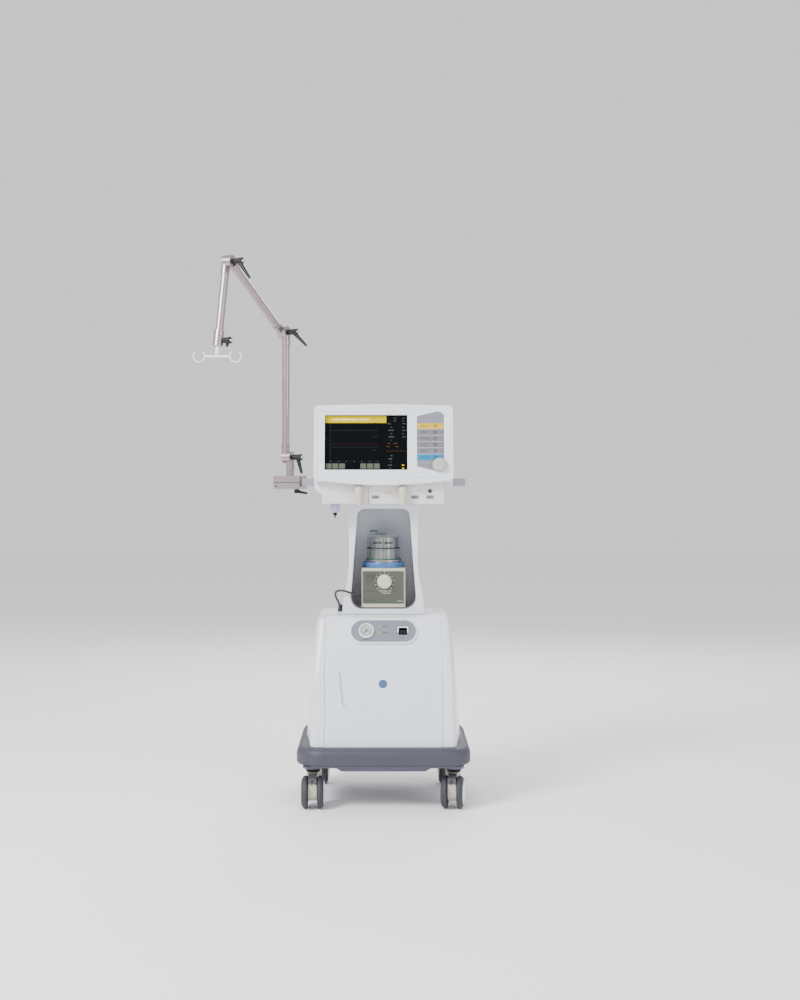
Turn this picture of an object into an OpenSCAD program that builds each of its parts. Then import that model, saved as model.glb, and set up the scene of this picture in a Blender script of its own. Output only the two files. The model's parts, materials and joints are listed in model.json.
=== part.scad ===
// Intensive-care ventilator on a wheeled cabinet, with a heated humidifier and a jointed hose arm.
// +X is to the right, +Y to the back and +Z up. The origin is on the floor below the middle of the base.

/* [Base] */
// Width of the base bumper
base_w = 538; // [520:2:560]
// Depth of the base bumper
base_d = 560; // [540:2:600]
// Height of the top of the base bumper
base_top = 190; // [186:1:194]
// Radius of the caster wheels
wheel_r = 50; // [48:1:50]
// Swivel axis to the middle, sideways
caster_x = 218; // [212:1:222]
// Swivel axis to the middle, front to back
caster_y = 195; // [185:1:205]

/* [Cabinet] */
// Height of the flat top of the cabinet
cabinet_top = 584; // [570:1:600]
// Half width of the front and top cover, out to its seams
seam_x = 181; // [170:1:190]

/* [Column] */
// Height of the top of the column
column_top = 935; // [925:1:940]
// Front face of the column
column_front = -80; // [-90:1:-75]
// Depth of the column
column_d = 200; // [190:1:210]

/* [Head] */
// Half width of the display head
head_half = 217; // [205:1:225]
// Backward tilt of the display face
face_tilt = 10; // [5:1:14]
// Height of the display face along its slope
face_h = 255; // [245:1:260]

/* [Arm] */
// Turn of the arm's hinge axes from the X axis
arm_turn = 25; // [0:5:40]
// Length of the lower arm between its hinge axes
lower_len = 402; // [380:2:420]
// Length of the middle arm between its hinge axes
middle_len = 372; // [360:2:400]
// Length of the end arm
end_len = 243; // [230:1:260]

/* [Hidden] */
$fn = 48;

gap = 0.3;
skin = 3;
pin_fit = 0.05;

// Colours
shell_white = [0.93, 0.94, 0.96];
warm_white = [0.9, 0.88, 0.84];
blue_grey = [0.46, 0.47, 0.53];
dark_grey = [0.25, 0.25, 0.27];
steel = [0.72, 0.71, 0.71];

// Casters: place and turn at rest of each one, in the order of CORNERS
CORNERS = [[-1, -1], [1, -1], [-1, 1], [1, 1]];
caster_turns = [0, -9, 0, 0];
trail = 30;
fork_top = 108;
frame_low = 121;
frame_high = 136;
pan_low = 112;
race_r = 21;
king_r = 6;
king_len = 22;
fork_half = 13;
axle_r = 5;
wheel_gap = 15;
tread_w = 18;
flange_low = 2 * wheel_r + 0.6;
pedal_y = -trail - 1;
pedal_z = 104;
pedal_pin_r = 2;

// Cabinet outline: x, y, z of the corners of its right half, from the bottom up
edge_r = 20;
cab_corners = [[226, -245, 190], [220, -245, 430], [207, -178, cabinet_top],
    [245, -40, 190], [245, 110, 190], [223, -40, 515], [223, 110, 500],
    [211, -20, cabinet_top], [213, 130, cabinet_top],
    [225, 240, 190], [212, 215, 470], [212, 160, cabinet_top]];
rear_y = 150;
recess_deep = 9;
recess_low = 298;
recess_high = 632;
recess_r = 42;
recess_foot = 130;
recess_head = 160;

// Air tank behind the post
tank_y = 165;
tank_z = 330;
tank_r = 45;
tank_len = 240;

// Control plate, on the slope of the cabinet front
plate_tilt = 26.6;
plate_y = -192.4;
plate_z = 541;
plate_w = 200;
plate_h = 70;
gauge_x = -53;
gauge_r = 20;
rocker_x = 60;

// Column
column_mid = column_front + column_d / 2;
column_low = cabinet_top + gap;
flare_top = 756;
waist_half = 109;
foot_half = 130.5;
niche_low = 600;
niche_high = 919;
niche_deep = 160;
niche_back = column_front + niche_deep;
post_w = 90;
post_y = 88;
post_d = 24;

// Humidifier
hum_half = 70;
hum_front = -56;
hum_deep = 126;
hum_low = niche_low + gap;
hum_high = 729;
pot_y = 8;
pot_low = 751;
pot_high = 832;
pot_r = 53.8;
sleeve_r = 46;
dial_x = 3;
dial_z = 686;
dial_r = 23;

// Free lead from the humidifier to its outlet on the cabinet: points of its middle line
cord_r = 3.5;
cord_points = [[-82, -64, 641], [-90, -76, 645], [-101, -88, 651], [-115, -96, 657], [-130, -97, 661],
    [-143, -90, 660], [-151, -76, 655], [-154, -59, 647], [-153, -41, 638], [-150, -23, 629],
    [-146, -7, 619], [-143, 6, 611], [-141, 17, 605], [-140, 26, 602], [-140, 33.4, 601]];
boot_start = [-77.5, -46, 640];
outlet_at = [-140, 50];

// Head
block_front = -160;
block_top = 1006;
block_left = -192;
block_right = 189;
block_seam = -46.5;
head_low = 966;
head_high = 1235;
head_back = 130;
face_y = -195;
face_z = 996;
bezel_d = 60;
chin_h = 40;
screen_x = [-183.5, 74.5];
screen_z = [47, 222];
pad_x = [104.5, 188.5];
key_pitch = 19.8;
key_low = 77.4;
key_gap = 1;
knob_x = 174.5;
knob_z = 62;
knob_r = 22.5;
rail_half = 262;
rail_y = -40;
rail_d = 10;
rail_low = 990;
rail_h = 25;
port_x = [-77, 60];
port_y = -180;
port_z = 977.5;
cone_r = 11;

// Arm
post_at = [-300, -20];
screw_x = -278;
tube_r = 12;
tube_wall = 2;
knuckle_r = 19.5;
knuckle_t = 15.4;
collar_len = 22;
split = 0.15;
bolt_r = 4;
bolt_len = 14.5;
hub_len = 33;
elbow_1 = 1083;
middle_lean = 59.5;
end_lean = 11;
clamp_z = [981, 1023];

function caster_at(i) = [CORNERS[i][0] * caster_x, CORNERS[i][1] * caster_y, 0];

module rounded(w, d, r) {
    square([w - 2 * r, d], center = true);
    square([w, d - 2 * r], center = true);
    for (x = [-1, 1], y = [-1, 1])
        translate([x * (w / 2 - r), y * (d / 2 - r)]) circle(r);
}

module slab(w, d, r, z0, z1) {
    translate([0, 0, z0]) linear_extrude(z1 - z0) rounded(w, d, r);
}

module tube(r, bore, h) {
    difference() {
        cylinder(h = h, r = r);
        translate([0, 0, -1]) cylinder(h = h + 2, r = bore);
    }
}

// Along -Y, for what is turned on a face that looks to the front
module facing() { rotate([90, 0, 0]) children(); }

// ---- base and casters ----

module base_frame() {
    color(dark_grey) {
        difference() {
            union() {
                slab(base_w - 60, base_d - 60, 70, frame_low + 6, frame_high);
                slab(288, 460, 20, frame_low - 3, frame_high - 1);
                slab(270, 442, 14, pan_low, frame_low);
                for (i = [0:3]) translate(caster_at(i)) {
                    translate([0, 0, frame_low - 2]) cylinder(h = 8.5, r = race_r + 11);
                    translate([0, 0, fork_top + gap]) cylinder(h = 14, r = race_r);
                }
            }
            slab(240, 300, 30, frame_low + 6, frame_high + 1);
            for (i = [0:3]) translate(caster_at(i)) translate([0, 0, fork_top])
                cylinder(h = king_len + 0.5, r = king_r + pin_fit);
        }
        for (x = [-1, 1]) translate([x * 100 - 4, post_y, frame_high - 1]) cube([8, post_d, 30]);
    }
}

module base_bumper() {
    color(blue_grey) difference() {
        hull() {
            slab(base_w - 8, base_d - 8, 82, frame_high + gap, frame_high + 5);
            slab(base_w, base_d, 86, frame_high + 8, base_top - 22);
            slab(base_w - 12, base_d - 14, 80, base_top - 10, base_top - 9);
            slab(base_w - 44, base_d - 50, 66, base_top - 1, base_top);
        }
        slab(400, 420, 40, frame_high - 1, base_top + 1);
    }
}

module wheel_profile(side) {
    // Rounded tread and dished outer cover of one wheel, with a bore for the axle
    inner = wheel_gap;
    outer = wheel_gap + tread_w;
    translate([side * inner, 0, 0]) rotate([0, side * 90, 0]) difference() {
        rotate_extrude() polygon([[0, 0], [wheel_r - 3, 0], [wheel_r, 3], [wheel_r, 9], [wheel_r - 1, 12],
            [wheel_r - 3.5, 15], [wheel_r - 7, 17.5], [wheel_r - 12, tread_w + 1.6], [wheel_r - 22, tread_w + 4],
            [wheel_r - 36, tread_w + 5.6], [0, tread_w + 6]]);
        translate([0, 0, -1]) cylinder(h = tread_w - 6, r = axle_r + pin_fit);
    }
}

module in_caster(i) {
    translate(caster_at(i)) rotate([0, 0, caster_turns[i]]) children();
}

module caster_fork(i) {
    color(warm_white) in_caster(i) {
        difference() {
            union() {
                translate([0, 0, 78]) cylinder(h = fork_top - 78, r = wheel_gap - 1);
                translate([0, 0, flange_low]) cylinder(h = fork_top - flange_low, r = 18);
                translate([0, 0, fork_top - 1]) cylinder(h = king_len + 1, r = king_r);
                translate([-fork_half, 0, 0]) rotate([90, 0, 90]) linear_extrude(2 * fork_half) {
                    translate([-trail, wheel_r]) circle(26);
                    polygon([[-trail - 26, wheel_r], [-trail, 24], [-12, 40], [17, 80], [17, 96], [-trail - 6, 96],
                        [-trail - 26, 76]]);
                }
                translate([-wheel_gap - tread_w + 8, -trail, wheel_r]) rotate([0, 90, 0])
                    cylinder(h = 2 * (wheel_gap + tread_w - 8), r = axle_r);
            }
            translate([-20, -trail - 40, 88]) cube([40, 43, 40]);
        }
        if (i < 2) {
            for (side = [-1, 1]) translate([side * 14.4 - 1.2, pedal_y - 4, flange_low]) cube([2.4, 24, 6.8]);
            translate([-14, pedal_y, pedal_z]) rotate([0, 90, 0]) cylinder(h = 28, r = pedal_pin_r);
        }
    }
}

module caster_wheels(i) {
    color(blue_grey) in_caster(i) translate([0, -trail, wheel_r])
        for (side = [-1, 1]) wheel_profile(side);
}

// Brake pedal above the wheels, turning on a pin between two cheeks of the fork
module caster_pedal(i) {
    color(dark_grey) in_caster(i) difference() {
        translate([-12.5, 0, 0]) rotate([90, 0, 90]) linear_extrude(25)
            polygon([[-trail + 2, 101], [-trail - 4, 92], [-trail - 18, 90.6], [-trail - 27, 83],
                [-trail - 35, 82], [-trail - 33, 96], [-trail - 12, 106], [-trail - 2, 107]]);
        translate([-4, -trail - 45, 78]) cube([8, 16, 14]);
        translate([-20, pedal_y, pedal_z]) rotate([0, 90, 0]) cylinder(h = 40, r = pedal_pin_r + pin_fit);
    }
}

// ---- cabinet ----

// Convex body of the cabinet, drawn in by inset all round
module cabinet_body(inset) {
    hull() for (c = cab_corners, side = [-1, 1])
        translate([side * (c[0] - edge_r), c[1] - (c[1] > 0 ? edge_r : -edge_r), c[2] - (c[2] > 200 ? edge_r : 0)])
            sphere(r = edge_r - inset, $fn = 16);
}

// Shallow U of the front cover: wider at the top, and fading out towards the cabinet's top edge
module front_recess() {
    arc = [for (i = [0:8]) [recess_foot - recess_r * (1 - cos(90 * i / 8)), recess_low + recess_r * (1 - sin(90 * i / 8))]];
    half = concat([[recess_head, recess_high]], arc);
    floor_y = cab_corners[0][1] + recess_deep;
    intersection() {
        translate([0, -150, 0]) facing() linear_extrude(200)
            polygon(concat(half, [for (i = [len(half) - 1:-1:0]) [-half[i][0], half[i][1]]]));
        translate([-200, 0, 0]) rotate([90, 0, 90]) linear_extrude(400)
            polygon([[-300, base_top + 10], [floor_y, base_top + 10], [floor_y, cab_corners[1][2] + 2],
                [-174, 577], [-150, recess_high], [-300, recess_high]]);
    }
}

// Raised pad below the control plate
module plate_pad() {
    in_plate() facing() translate([0, 0, -12]) linear_extrude(12 - gap)
        rounded(plate_w + 12, plate_h + 12, plate_h / 2 + 5.9);
}

module above_base() {
    translate([-400, -400, base_top + gap]) cube([800, 800, 600]);
}

module cabinet_front() {
    color(shell_white) difference() {
        union() {
            difference() {
                intersection() {
                    cabinet_body(0);
                    translate([-seam_x + 0.4, -300, base_top + gap]) cube([2 * seam_x - 0.8, 300 + rear_y, 500]);
                }
                front_recess();
            }
            plate_pad();
        }
        cabinet_body(12);
        translate([0, post_y + post_d / 2, 0]) linear_extrude(cabinet_top + 10)
            square([post_w + 4, post_d + 4], center = true);
        in_plate() translate([gauge_x, 0, 0]) facing() translate([0, 0, -25]) cylinder(h = 40, r = gauge_r - 2);
        in_plate() translate([rocker_x, 0, 0]) cube([28, 50, 24], center = true);
    }
}

module cabinet_sides() {
    color(shell_white) difference() {
        intersection() {
            cabinet_body(0);
            above_base();
        }
        cabinet_body(skin);
        translate([-seam_x - 0.4, -300, 0]) cube([2 * seam_x + 0.8, 600, 700]);
    }
}

module cabinet_rear() {
    color(shell_white) difference() {
        intersection() {
            cabinet_body(0);
            translate([-seam_x + 0.4, rear_y + 0.6, base_top + gap]) cube([2 * seam_x - 0.8, 200, 500]);
        }
        cabinet_body(skin);
        for (i = [0:7]) translate([-110, 150, 330 + 14 * i]) cube([220, 120, 6]);
        for (x = [-60, 60]) translate([x, 260, 250]) facing() cylinder(h = 80, r = 12);
        translate([-15, 160, 232]) cube([30, 100, 24]);
    }
}

module air_compressor() {
    color(steel) {
        translate([-70, -40, 200]) rotate([0, 90, 0]) cylinder(h = 140, r = 48);
        for (x = [-95, 71]) translate([x, -75, 160]) cube([24, 70, 130]);
        translate([-130, -100, frame_high + gap]) cube([260, 120, 12]);
    }
    color(dark_grey) difference() {
        union() {
            translate([-tank_len / 2, tank_y, tank_z]) rotate([0, 90, 0]) cylinder(h = tank_len, r = tank_r);
            translate([-30, post_y + post_d + gap, tank_z - 25]) cube([60, 18, 50]);
        }
        translate([skin - tank_len / 2, tank_y, tank_z]) rotate([0, 90, 0])
            cylinder(h = tank_len - 2 * skin, r = tank_r - skin);
        translate([80, tank_y, tank_z]) rotate([0, 90, 0]) cylinder(h = 60, r = 6);
    }
}

// Two gas inlets and the mains inlet of the rear panel
module rear_inlets() {
    color(steel) for (x = [-60, 60]) translate([x, 252, 250]) facing() {
        tube(11.7, 4, 62);
        translate([0, 0, -6]) tube(8, 4, 6.5);
    }
    color(dark_grey) difference() {
        translate([-14.7, 195, 232.3]) cube([29.4, 44, 23.4]);
        translate([-11, 220, 236]) cube([22, 30, 16]);
    }
}

module in_plate() {
    translate([0, plate_y, plate_z]) rotate([-plate_tilt, 0, 0]) children();
}

module control_plate() {
    color([0.65, 0.65, 0.69]) in_plate() difference() {
        facing() translate([0, 0, 0]) linear_extrude(4) rounded(plate_w, plate_h, plate_h / 2 - 0.1);
        translate([gauge_x, 0, 0]) facing() translate([0, 0, -5]) cylinder(h = 20, r = gauge_r - 2);
        translate([rocker_x, 0, 0]) cube([28, 20, 24], center = true);
    }
}

module gauge_case() {
    color("white") in_plate() translate([gauge_x, 0, 0]) facing() {
        difference() {
            union() {
                translate([0, 0, -22]) cylinder(h = 29, r = gauge_r - 2.3);
                translate([0, 0, 4 + gap]) cylinder(h = 6, r = gauge_r + 3.5);
            }
            translate([0, 0, 6]) cylinder(h = 10, r = gauge_r);
            translate([0, 0, 3]) cylinder(h = 10, r = 1.2 + pin_fit);
        }
    }
}

module gauge_needle() {
    color(dark_grey) in_plate() translate([gauge_x, 0, 0]) facing() {
        translate([0, 0, 3.5]) cylinder(h = 4.5, r = 1.2);
        translate([0, 0, 6.8]) cylinder(h = 1.4, r = 3);
        rotate([0, 0, 45]) translate([-14, -0.7, 6.9]) cube([21, 1.4, 0.9]);
    }
}

module power_rocker() {
    color("black") in_plate() translate([rocker_x, 0, 0]) {
        rotate([90, 0, 90]) translate([0, 0, -10.5]) linear_extrude(21)
            polygon([[10, -7], [10, 7], [-5, 10.5], [-7.4, 0], [-9, -10.5]]);
        rotate([0, 90, 0]) cylinder(h = 24, r = 2, center = true);
    }
}

// ---- column ----

function column_half(z) = z > flare_top
    ? waist_half + 3 * (z - flare_top) / (column_top - flare_top)
    : waist_half + (foot_half - waist_half) * (1 + cos(180 * (z - column_low) / (flare_top - column_low))) / 2;

module column_outline() {
    steps = [for (i = [0:14]) column_low + (column_top - column_low) * i / 14];
    polygon(concat([for (z = steps) [column_half(z), z]], [for (i = [14:-1:0]) [-column_half(steps[i]), steps[i]]]));
}

module niche_outline() {
    hull() {
        for (x = [-1, 1]) {
            translate([x * (84 - 26), niche_high - 26]) circle(26, $fn = 32);
            translate([x * (103.5 - 36), niche_low + 36]) circle(36, $fn = 32);
        }
    }
}

module column_post() {
    color(steel) translate([0, post_y + post_d / 2, frame_high + gap]) difference() {
        linear_extrude(column_top + 20 - frame_high) square([post_w, post_d], center = true);
        translate([0, 0, -1]) linear_extrude(900) square([post_w - 6, post_d - 6], center = true);
    }
}

module column_shell() {
    color(shell_white) difference() {
        intersection() {
            translate([0, column_front + column_d, 0]) facing() linear_extrude(column_d) column_outline();
            translate([0, column_mid, 0]) linear_extrude(1000) rounded(300, column_d, 18);
        }
        translate([0, niche_back, 0]) facing() linear_extrude(niche_deep + 1) niche_outline();
        translate([-98, niche_back + 4, 0]) cube([196, 33, 1000]);
    }
}

// ---- humidifier ----

module humidifier_case() {
    color([0.84, 0.82, 0.74]) difference() {
        union() {
            translate([0, hum_front + hum_deep / 2, 0]) slab(2 * hum_half, hum_deep, 6, hum_low + 4, hum_high);
            translate([0, hum_front + hum_deep / 2 + 6, 0]) slab(2 * hum_half - 16, hum_deep - 24, 6, hum_low, hum_low + 5);
        }
        translate([dial_x, hum_front + 20, dial_z]) facing() cylinder(h = 30, r = 4 + pin_fit);
        translate([0, pot_y, hum_high - 7]) cylinder(h = 20, r = 52);
        translate([0, hum_front + hum_deep / 2, 0]) slab(132, 118, 4, hum_low + 8, hum_high - 11);
        translate([0, hum_front + hum_deep / 2 + 6, 0]) slab(114, 92, 4, hum_low - 1, hum_low + 9);
    }
}

module humidifier_plate() {
    color([0.46, 0.47, 0.44]) translate([-1, hum_front - gap, 668]) facing() difference() {
        linear_extrude(1.5) rounded(131, 103, 3);
        translate([dial_x + 1, dial_z - 668, -1]) cylinder(h = 5, r = 6);
    }
}

module humidifier_dial() {
    color([0.9, 0.89, 0.85]) translate([dial_x, hum_front - 2.2, dial_z]) facing() {
        cylinder(h = 4, r = dial_r);
        cylinder(h = 14, r = dial_r - 3);
        translate([0, 0, -14]) cylinder(h = 16, r = 4);
    }
}

module heater_collar() {
    color([0.49, 0.61, 0.82]) translate([0, pot_y, hum_high + gap]) tube(67, 52, 17);
}

// Metal heat plate of the water chamber, with its inner evaporator sleeve
module chamber_core() {
    color(steel) translate([0, pot_y, 0]) {
        translate([0, 0, hum_high - 6.5]) cylinder(h = pot_low - hum_high + 5.5, r = 51.5);
        translate([0, 0, 746.8]) cylinder(h = 3.2, r = 58);
        difference() {
            cylinder(h = pot_high - 10, r = sleeve_r);
            cylinder(h = pot_high, r = sleeve_r - 2);
            translate([0, 0, -1]) cylinder(h = 746, r = 60);
        }
    }
}

module chamber_dome() {
    color([0.8, 0.88, 0.9, 0.4]) translate([0, pot_y, 0]) difference() {
        union() {
            translate([0, 0, 754]) cylinder(h = pot_high - 754, r = pot_r);
            translate([0, 0, pot_high - 1]) cylinder(h = 24, r = 10.5);
            translate([-32, 0, pot_high - 1]) cylinder(h = 12, r = 12);
        }
        translate([0, 0, 750]) cylinder(h = pot_high - 753, r = pot_r - 2.5);
        translate([0, 0, pot_high - 5]) cylinder(h = 40, r = 8.5);
        translate([-32, 0, pot_high - 5]) cylinder(h = 40, r = 9.5);
    }
}

module chamber_rings() {
    color([0.1, 0.45, 0.35]) translate([0, pot_y, 750.2]) tube(56, 48, 3.6);
    color("black") translate([0, pot_y, 786]) tube(pot_r + 1.4, pot_r + 0.1, 3);
    color([0.1, 0.45, 0.35]) translate([-32, pot_y, pot_high + 8]) tube(14.5, 12.1, 3);
}

function unit(v) = v / norm(v);

// Rings of a tube swept along the points p
module swept_tube(p, r, sides) {
    n = len(p);
    along = [for (i = [0:n - 1]) unit(p[min(i + 1, n - 1)] - p[max(i - 1, 0)])];
    across = [for (t = along) unit(cross(t, [0, 0, 1]))];
    rings = [for (i = [0:n - 1], k = [0:sides - 1])
        p[i] + r * (cos(360 * k / sides) * across[i] + sin(360 * k / sides) * cross(along[i], across[i]))];
    walls = [for (i = [0:n - 2], k = [0:sides - 1])
        [i * sides + k, i * sides + (k + 1) % sides, (i + 1) * sides + (k + 1) % sides, (i + 1) * sides + k]];
    ends = [[for (k = [sides - 1:-1:0]) k], [for (k = [0:sides - 1]) (n - 1) * sides + k]];
    polyhedron(points = rings, faces = concat(walls, ends));
}

module humidifier_cord() {
    color(dark_grey) swept_tube(cord_points, cord_r, 8);
}

// Strain relief at the humidifier, and the plug on its outlet
module cord_ends() {
    way = cord_points[0] - boot_start;
    turn = atan2(way[1], way[0]);
    color(dark_grey) {
        translate([-79, -43, 640]) rotate([0, 90, 0]) cylinder(h = 79 - hum_half - gap, r = 6.5);
        translate(boot_start) rotate([0, 90, turn]) cylinder(h = norm([way[0], way[1]]) - 1.7, r1 = 6.5, r2 = 4.4);
        translate([outlet_at[0], outlet_at[1], 0]) difference() {
            translate([-7, -16, cabinet_top + 5]) cube([14, 34, 18]);
            translate([-8, -16, cabinet_top + 22]) rotate([-20, 0, 0]) translate([0, -20, 0]) cube([16, 60, 20]);
        }
        translate([outlet_at[0] - 9, outlet_at[1] - 13, cabinet_top + gap]) cube([18, 34, 5]);
    }
}

// ---- head ----

module block_part(x0, x1) {
    difference() {
        union() {
            translate([x0, block_front, column_top + 1]) cube([x1 - x0, 230, head_low - column_top - 1.5]);
            translate([x0, block_front, column_top + 1]) cube([x1 - x0, 14, block_top - column_top - 1]);
        }
        in_face() translate([0, bezel_d + 5, 0]) facing() linear_extrude(bezel_d + 10) face_outline(-gap);
        translate([x0 + skin, block_front + 10, column_top + 4]) cube([x1 - x0 - 2 * skin, 210, 24]);
        for (x = port_x) translate([x, -100, port_z]) facing() cylinder(h = 100, r = 9);
        translate([0, post_y + post_d / 2, 0]) linear_extrude(1000) square([post_w + 1, post_d + 1], center = true);
    }
}

module port_block() {
    color(warm_white) block_part(block_seam + 0.4, block_right);
}

module exhale_module() {
    color(warm_white) block_part(block_left, block_seam - 0.4);
}

// Elbows of the two breathing ports, ending in 22 mm male cones that point down
module breathing_ports() {
    color([0.87, 0.86, 0.8]) for (x = port_x) translate([x, 0, 0]) difference() {
        union() {
            translate([0, port_y, port_z]) sphere(r = 13.2);
            translate([0, block_front - gap, port_z]) facing() cylinder(h = -port_y + block_front, r = 12.4);
            translate([0, block_front + 15, port_z]) facing() cylinder(h = 20, r = 8.9);
            translate([0, port_y, 950]) cylinder(h = port_z - 950, r1 = 11.2, r2 = 13);
            translate([0, port_y, 934]) cylinder(h = 17, r = cone_r);
        }
        translate([0, port_y, 930]) cylinder(h = 50, r = 7.5);
    }
}

module trap_cup() {
    color([0.86, 0.87, 0.93]) translate([-152, -130, 0]) difference() {
        translate([0, 0, 908]) cylinder(h = column_top - 907.5, r1 = 13.5, r2 = 15.5);
        translate([0, 0, 911]) cylinder(h = 22, r = 12);
    }
    color(dark_grey) translate([-152, -130, 0]) {
        translate([0, 0, 899]) cylinder(h = 8.8, r1 = 4.5, r2 = 6.5);
        translate([0, 0, 891]) cylinder(h = 8.1, r1 = 1.8, r2 = 2.6);
    }
}

// The frame of the display face: x to the right, z up the face and y into the head
module in_face() {
    translate([0, face_y, face_z]) rotate([-face_tilt, 0, 0]) children();
}

module head_outline(inset) {
    translate([0, (head_low + head_high) / 2])
        rounded(2 * (head_half + 1 - inset), head_high - head_low - 2 * inset, 34 - inset);
}

module head_shell() {
    color(shell_white) difference() {
        translate([0, head_back, 0]) facing() linear_extrude(300) head_outline(0);
        difference() {
            translate([0, head_back - skin, 0]) facing() linear_extrude(300) head_outline(skin);
            in_face() translate([-300, bezel_d - 1, -100]) cube([600, skin + 1.5, chin_h + 100]);
        }
        in_face() translate([-300, -200, -100]) cube([600, 200 + bezel_d + gap, 500]);
        translate([-300, rail_y - 0.5, rail_low - 0.5]) cube([600, rail_d + 1, rail_h + 1]);
        translate([0, post_y + post_d / 2, 900]) linear_extrude(100) square([post_w + 1, post_d + 1], center = true);
        for (i = [0:9]) translate([-120, head_back - 10, 1060 + 13 * i]) cube([240, 20, 5]);
    }
}

// Folded chassis with the blower and the electronics box
module head_chassis() {
    color(steel) difference() {
        union() {
            translate([-180, -60, head_low + skin + gap]) cube([360, 175, 20]);
            translate([-180, 60, head_low + 20]) cube([360, 55, 190]);
            translate([-90, -20, 1030]) cylinder(h = 90, r = 62);
            translate([-150, -70, 1016]) cube([300, 130, 14.5]);
            translate([60, -60, 1030]) cube([100, 121, 120]);
        }
        translate([-177, -57, head_low + 2 * skin + gap]) cube([354, 114, 40]);
        translate([-177, 63, head_low + 2 * skin + gap]) cube([354, 60, 182]);
        translate([-90, -20, 1033]) tube(59, 24, 100);
        translate([63, -57, 1033]) cube([94, 114, 130]);
        translate([-147, -67, 1005]) cube([294, 124, 22]);
        translate([-300, rail_y - 0.3, rail_low - 0.3]) cube([600, rail_d + 0.6, rail_h + 0.6]);
        translate([0, post_y + post_d / 2, 900]) linear_extrude(100) square([post_w + 1, post_d + 1], center = true);
    }
}

module cross_rail() {
    color(steel) translate([-rail_half, rail_y, rail_low]) cube([2 * rail_half, rail_d, rail_h]);
}

// Front outline of the display: a chin that hangs in the middle, a slightly raised top and round corners
module face_outline(inset) {
    w = head_half - inset;
    r = 11;
    chin = [for (i = [-10:10]) [w * i / 10 * 0.985, 17 * pow(i / 10, 2) + inset]];
    brow = [for (i = [10:-1:-10]) [(w - r) * i / 10, face_h - 4 * pow(i / 10, 2) - inset]];
    polygon(concat(chin, [[w, 26 + inset], [w, face_h - 4 - r - inset], [w - r / 3, face_h - 7.5 - inset]], brow,
        [[-w + r / 3, face_h - 7.5 - inset], [-w, face_h - 4 - r - inset], [-w, 26 + inset]]));
}

module pad_outline(inset) {
    polygon([[pad_x[0] + inset, 58 + inset], [166, 42 + inset], [178, 43 + inset], [pad_x[1] - inset, 54 + inset],
        [pad_x[1] - inset, 220 - inset], [180, 230 - inset], [168, 232 - inset], [pad_x[0] + inset, 217 - inset]]);
}

module monitor_bezel() {
    color(shell_white) in_face() difference() {
        translate([0, bezel_d, 0]) facing() linear_extrude(bezel_d) face_outline(0);
        translate([0, bezel_d + 1, 0]) facing() linear_extrude(bezel_d - 12) face_outline(5);
        translate([screen_x[0], -1, screen_z[0]])
            cube([screen_x[1] - screen_x[0], 30, screen_z[1] - screen_z[0]]);
        translate([0, 3, 0]) facing() linear_extrude(10) pad_outline(0);
        translate([knob_x, 20, knob_z]) facing() cylinder(h = 30, r = 4 + pin_fit);
    }
}

module screen() {
    color([0.08, 0.09, 0.12]) in_face()
        translate([screen_x[0] - 2, 13.3, screen_z[0] - 2])
            cube([screen_x[1] - screen_x[0] + 4, 8, screen_z[1] - screen_z[0] + 4]);
}

module key_panel() {
    color([0.68, 0.68, 0.71]) in_face() difference() {
        translate([0, 2.9, 0]) facing() linear_extrude(3.1) pad_outline(gap);
        translate([pad_x[0] + 0.7, -5, key_low - 0.3])
            cube([pad_x[1] - pad_x[0] - 1.4, 6.6, 6 * key_pitch - 0.4]);
        translate([knob_x, 20, knob_z]) facing() cylinder(h = 30, r = 6);
    }
}

// Key number n from the top
module key(n) {
    shade = n == 1 ? [0.91, 0.8, 0.5] : n == 6 ? [0.36, 0.69, 0.84] : [0.7, 0.7, 0.73];
    color(shade) in_face() translate([pad_x[0] + 1.2, -0.6, key_low + (6 - n) * key_pitch])
        cube([pad_x[1] - pad_x[0] - 2.4, 1.2, key_pitch - key_gap]);
}

module key_1() { key(1); }
module key_2() { key(2); }
module key_3() { key(3); }
module key_4() { key(4); }
module key_5() { key(5); }
module key_6() { key(6); }

module encoder_knob() {
    color("white") in_face() translate([knob_x, -0.8, knob_z]) facing() {
        cylinder(h = 16, r = knob_r);
        translate([0, 0, -10]) cylinder(h = 11, r = 4);
    }
}

// ---- arm ----

// Clamp block on the left end of the rail; the rail's end lies in front of its tongue
module arm_clamp() {
    low = clamp_z[0];
    high = clamp_z[1] - clamp_z[0];
    behind = rail_y + rail_d + gap;
    color(warm_white) difference() {
        union() {
            translate([-352, -48, low]) cube([84, 72, high]);
            translate([-270, behind, low]) cube([22, 24 - behind, high]);
            translate([-270, rail_y - 8, low]) cube([22, 50, rail_low - gap - low]);
        }
        translate([post_at[0], post_at[1], low + 12]) cylinder(h = 60, r = 8 + pin_fit);
        translate([screw_x, post_at[1], low - 1]) cylinder(h = 20, r = 5 + pin_fit);
    }
}

// The frame of the lowest elbow: x along its hinge axis to the right, with the split plane at x = 0
module at_lower() {
    translate([post_at[0], post_at[1], elbow_1]) rotate([0, 0, -arm_turn]) translate([-knuckle_t / 2, 0, 0]) children();
}

module at_middle() {
    at_lower() translate([-knuckle_t, 0, lower_len]) rotate([middle_lean, 0, 0]) children();
}

module at_end() {
    at_middle() translate([-knuckle_t, 0, middle_len]) rotate([180 - middle_lean - end_lean, 0, 0]) children();
}

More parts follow.
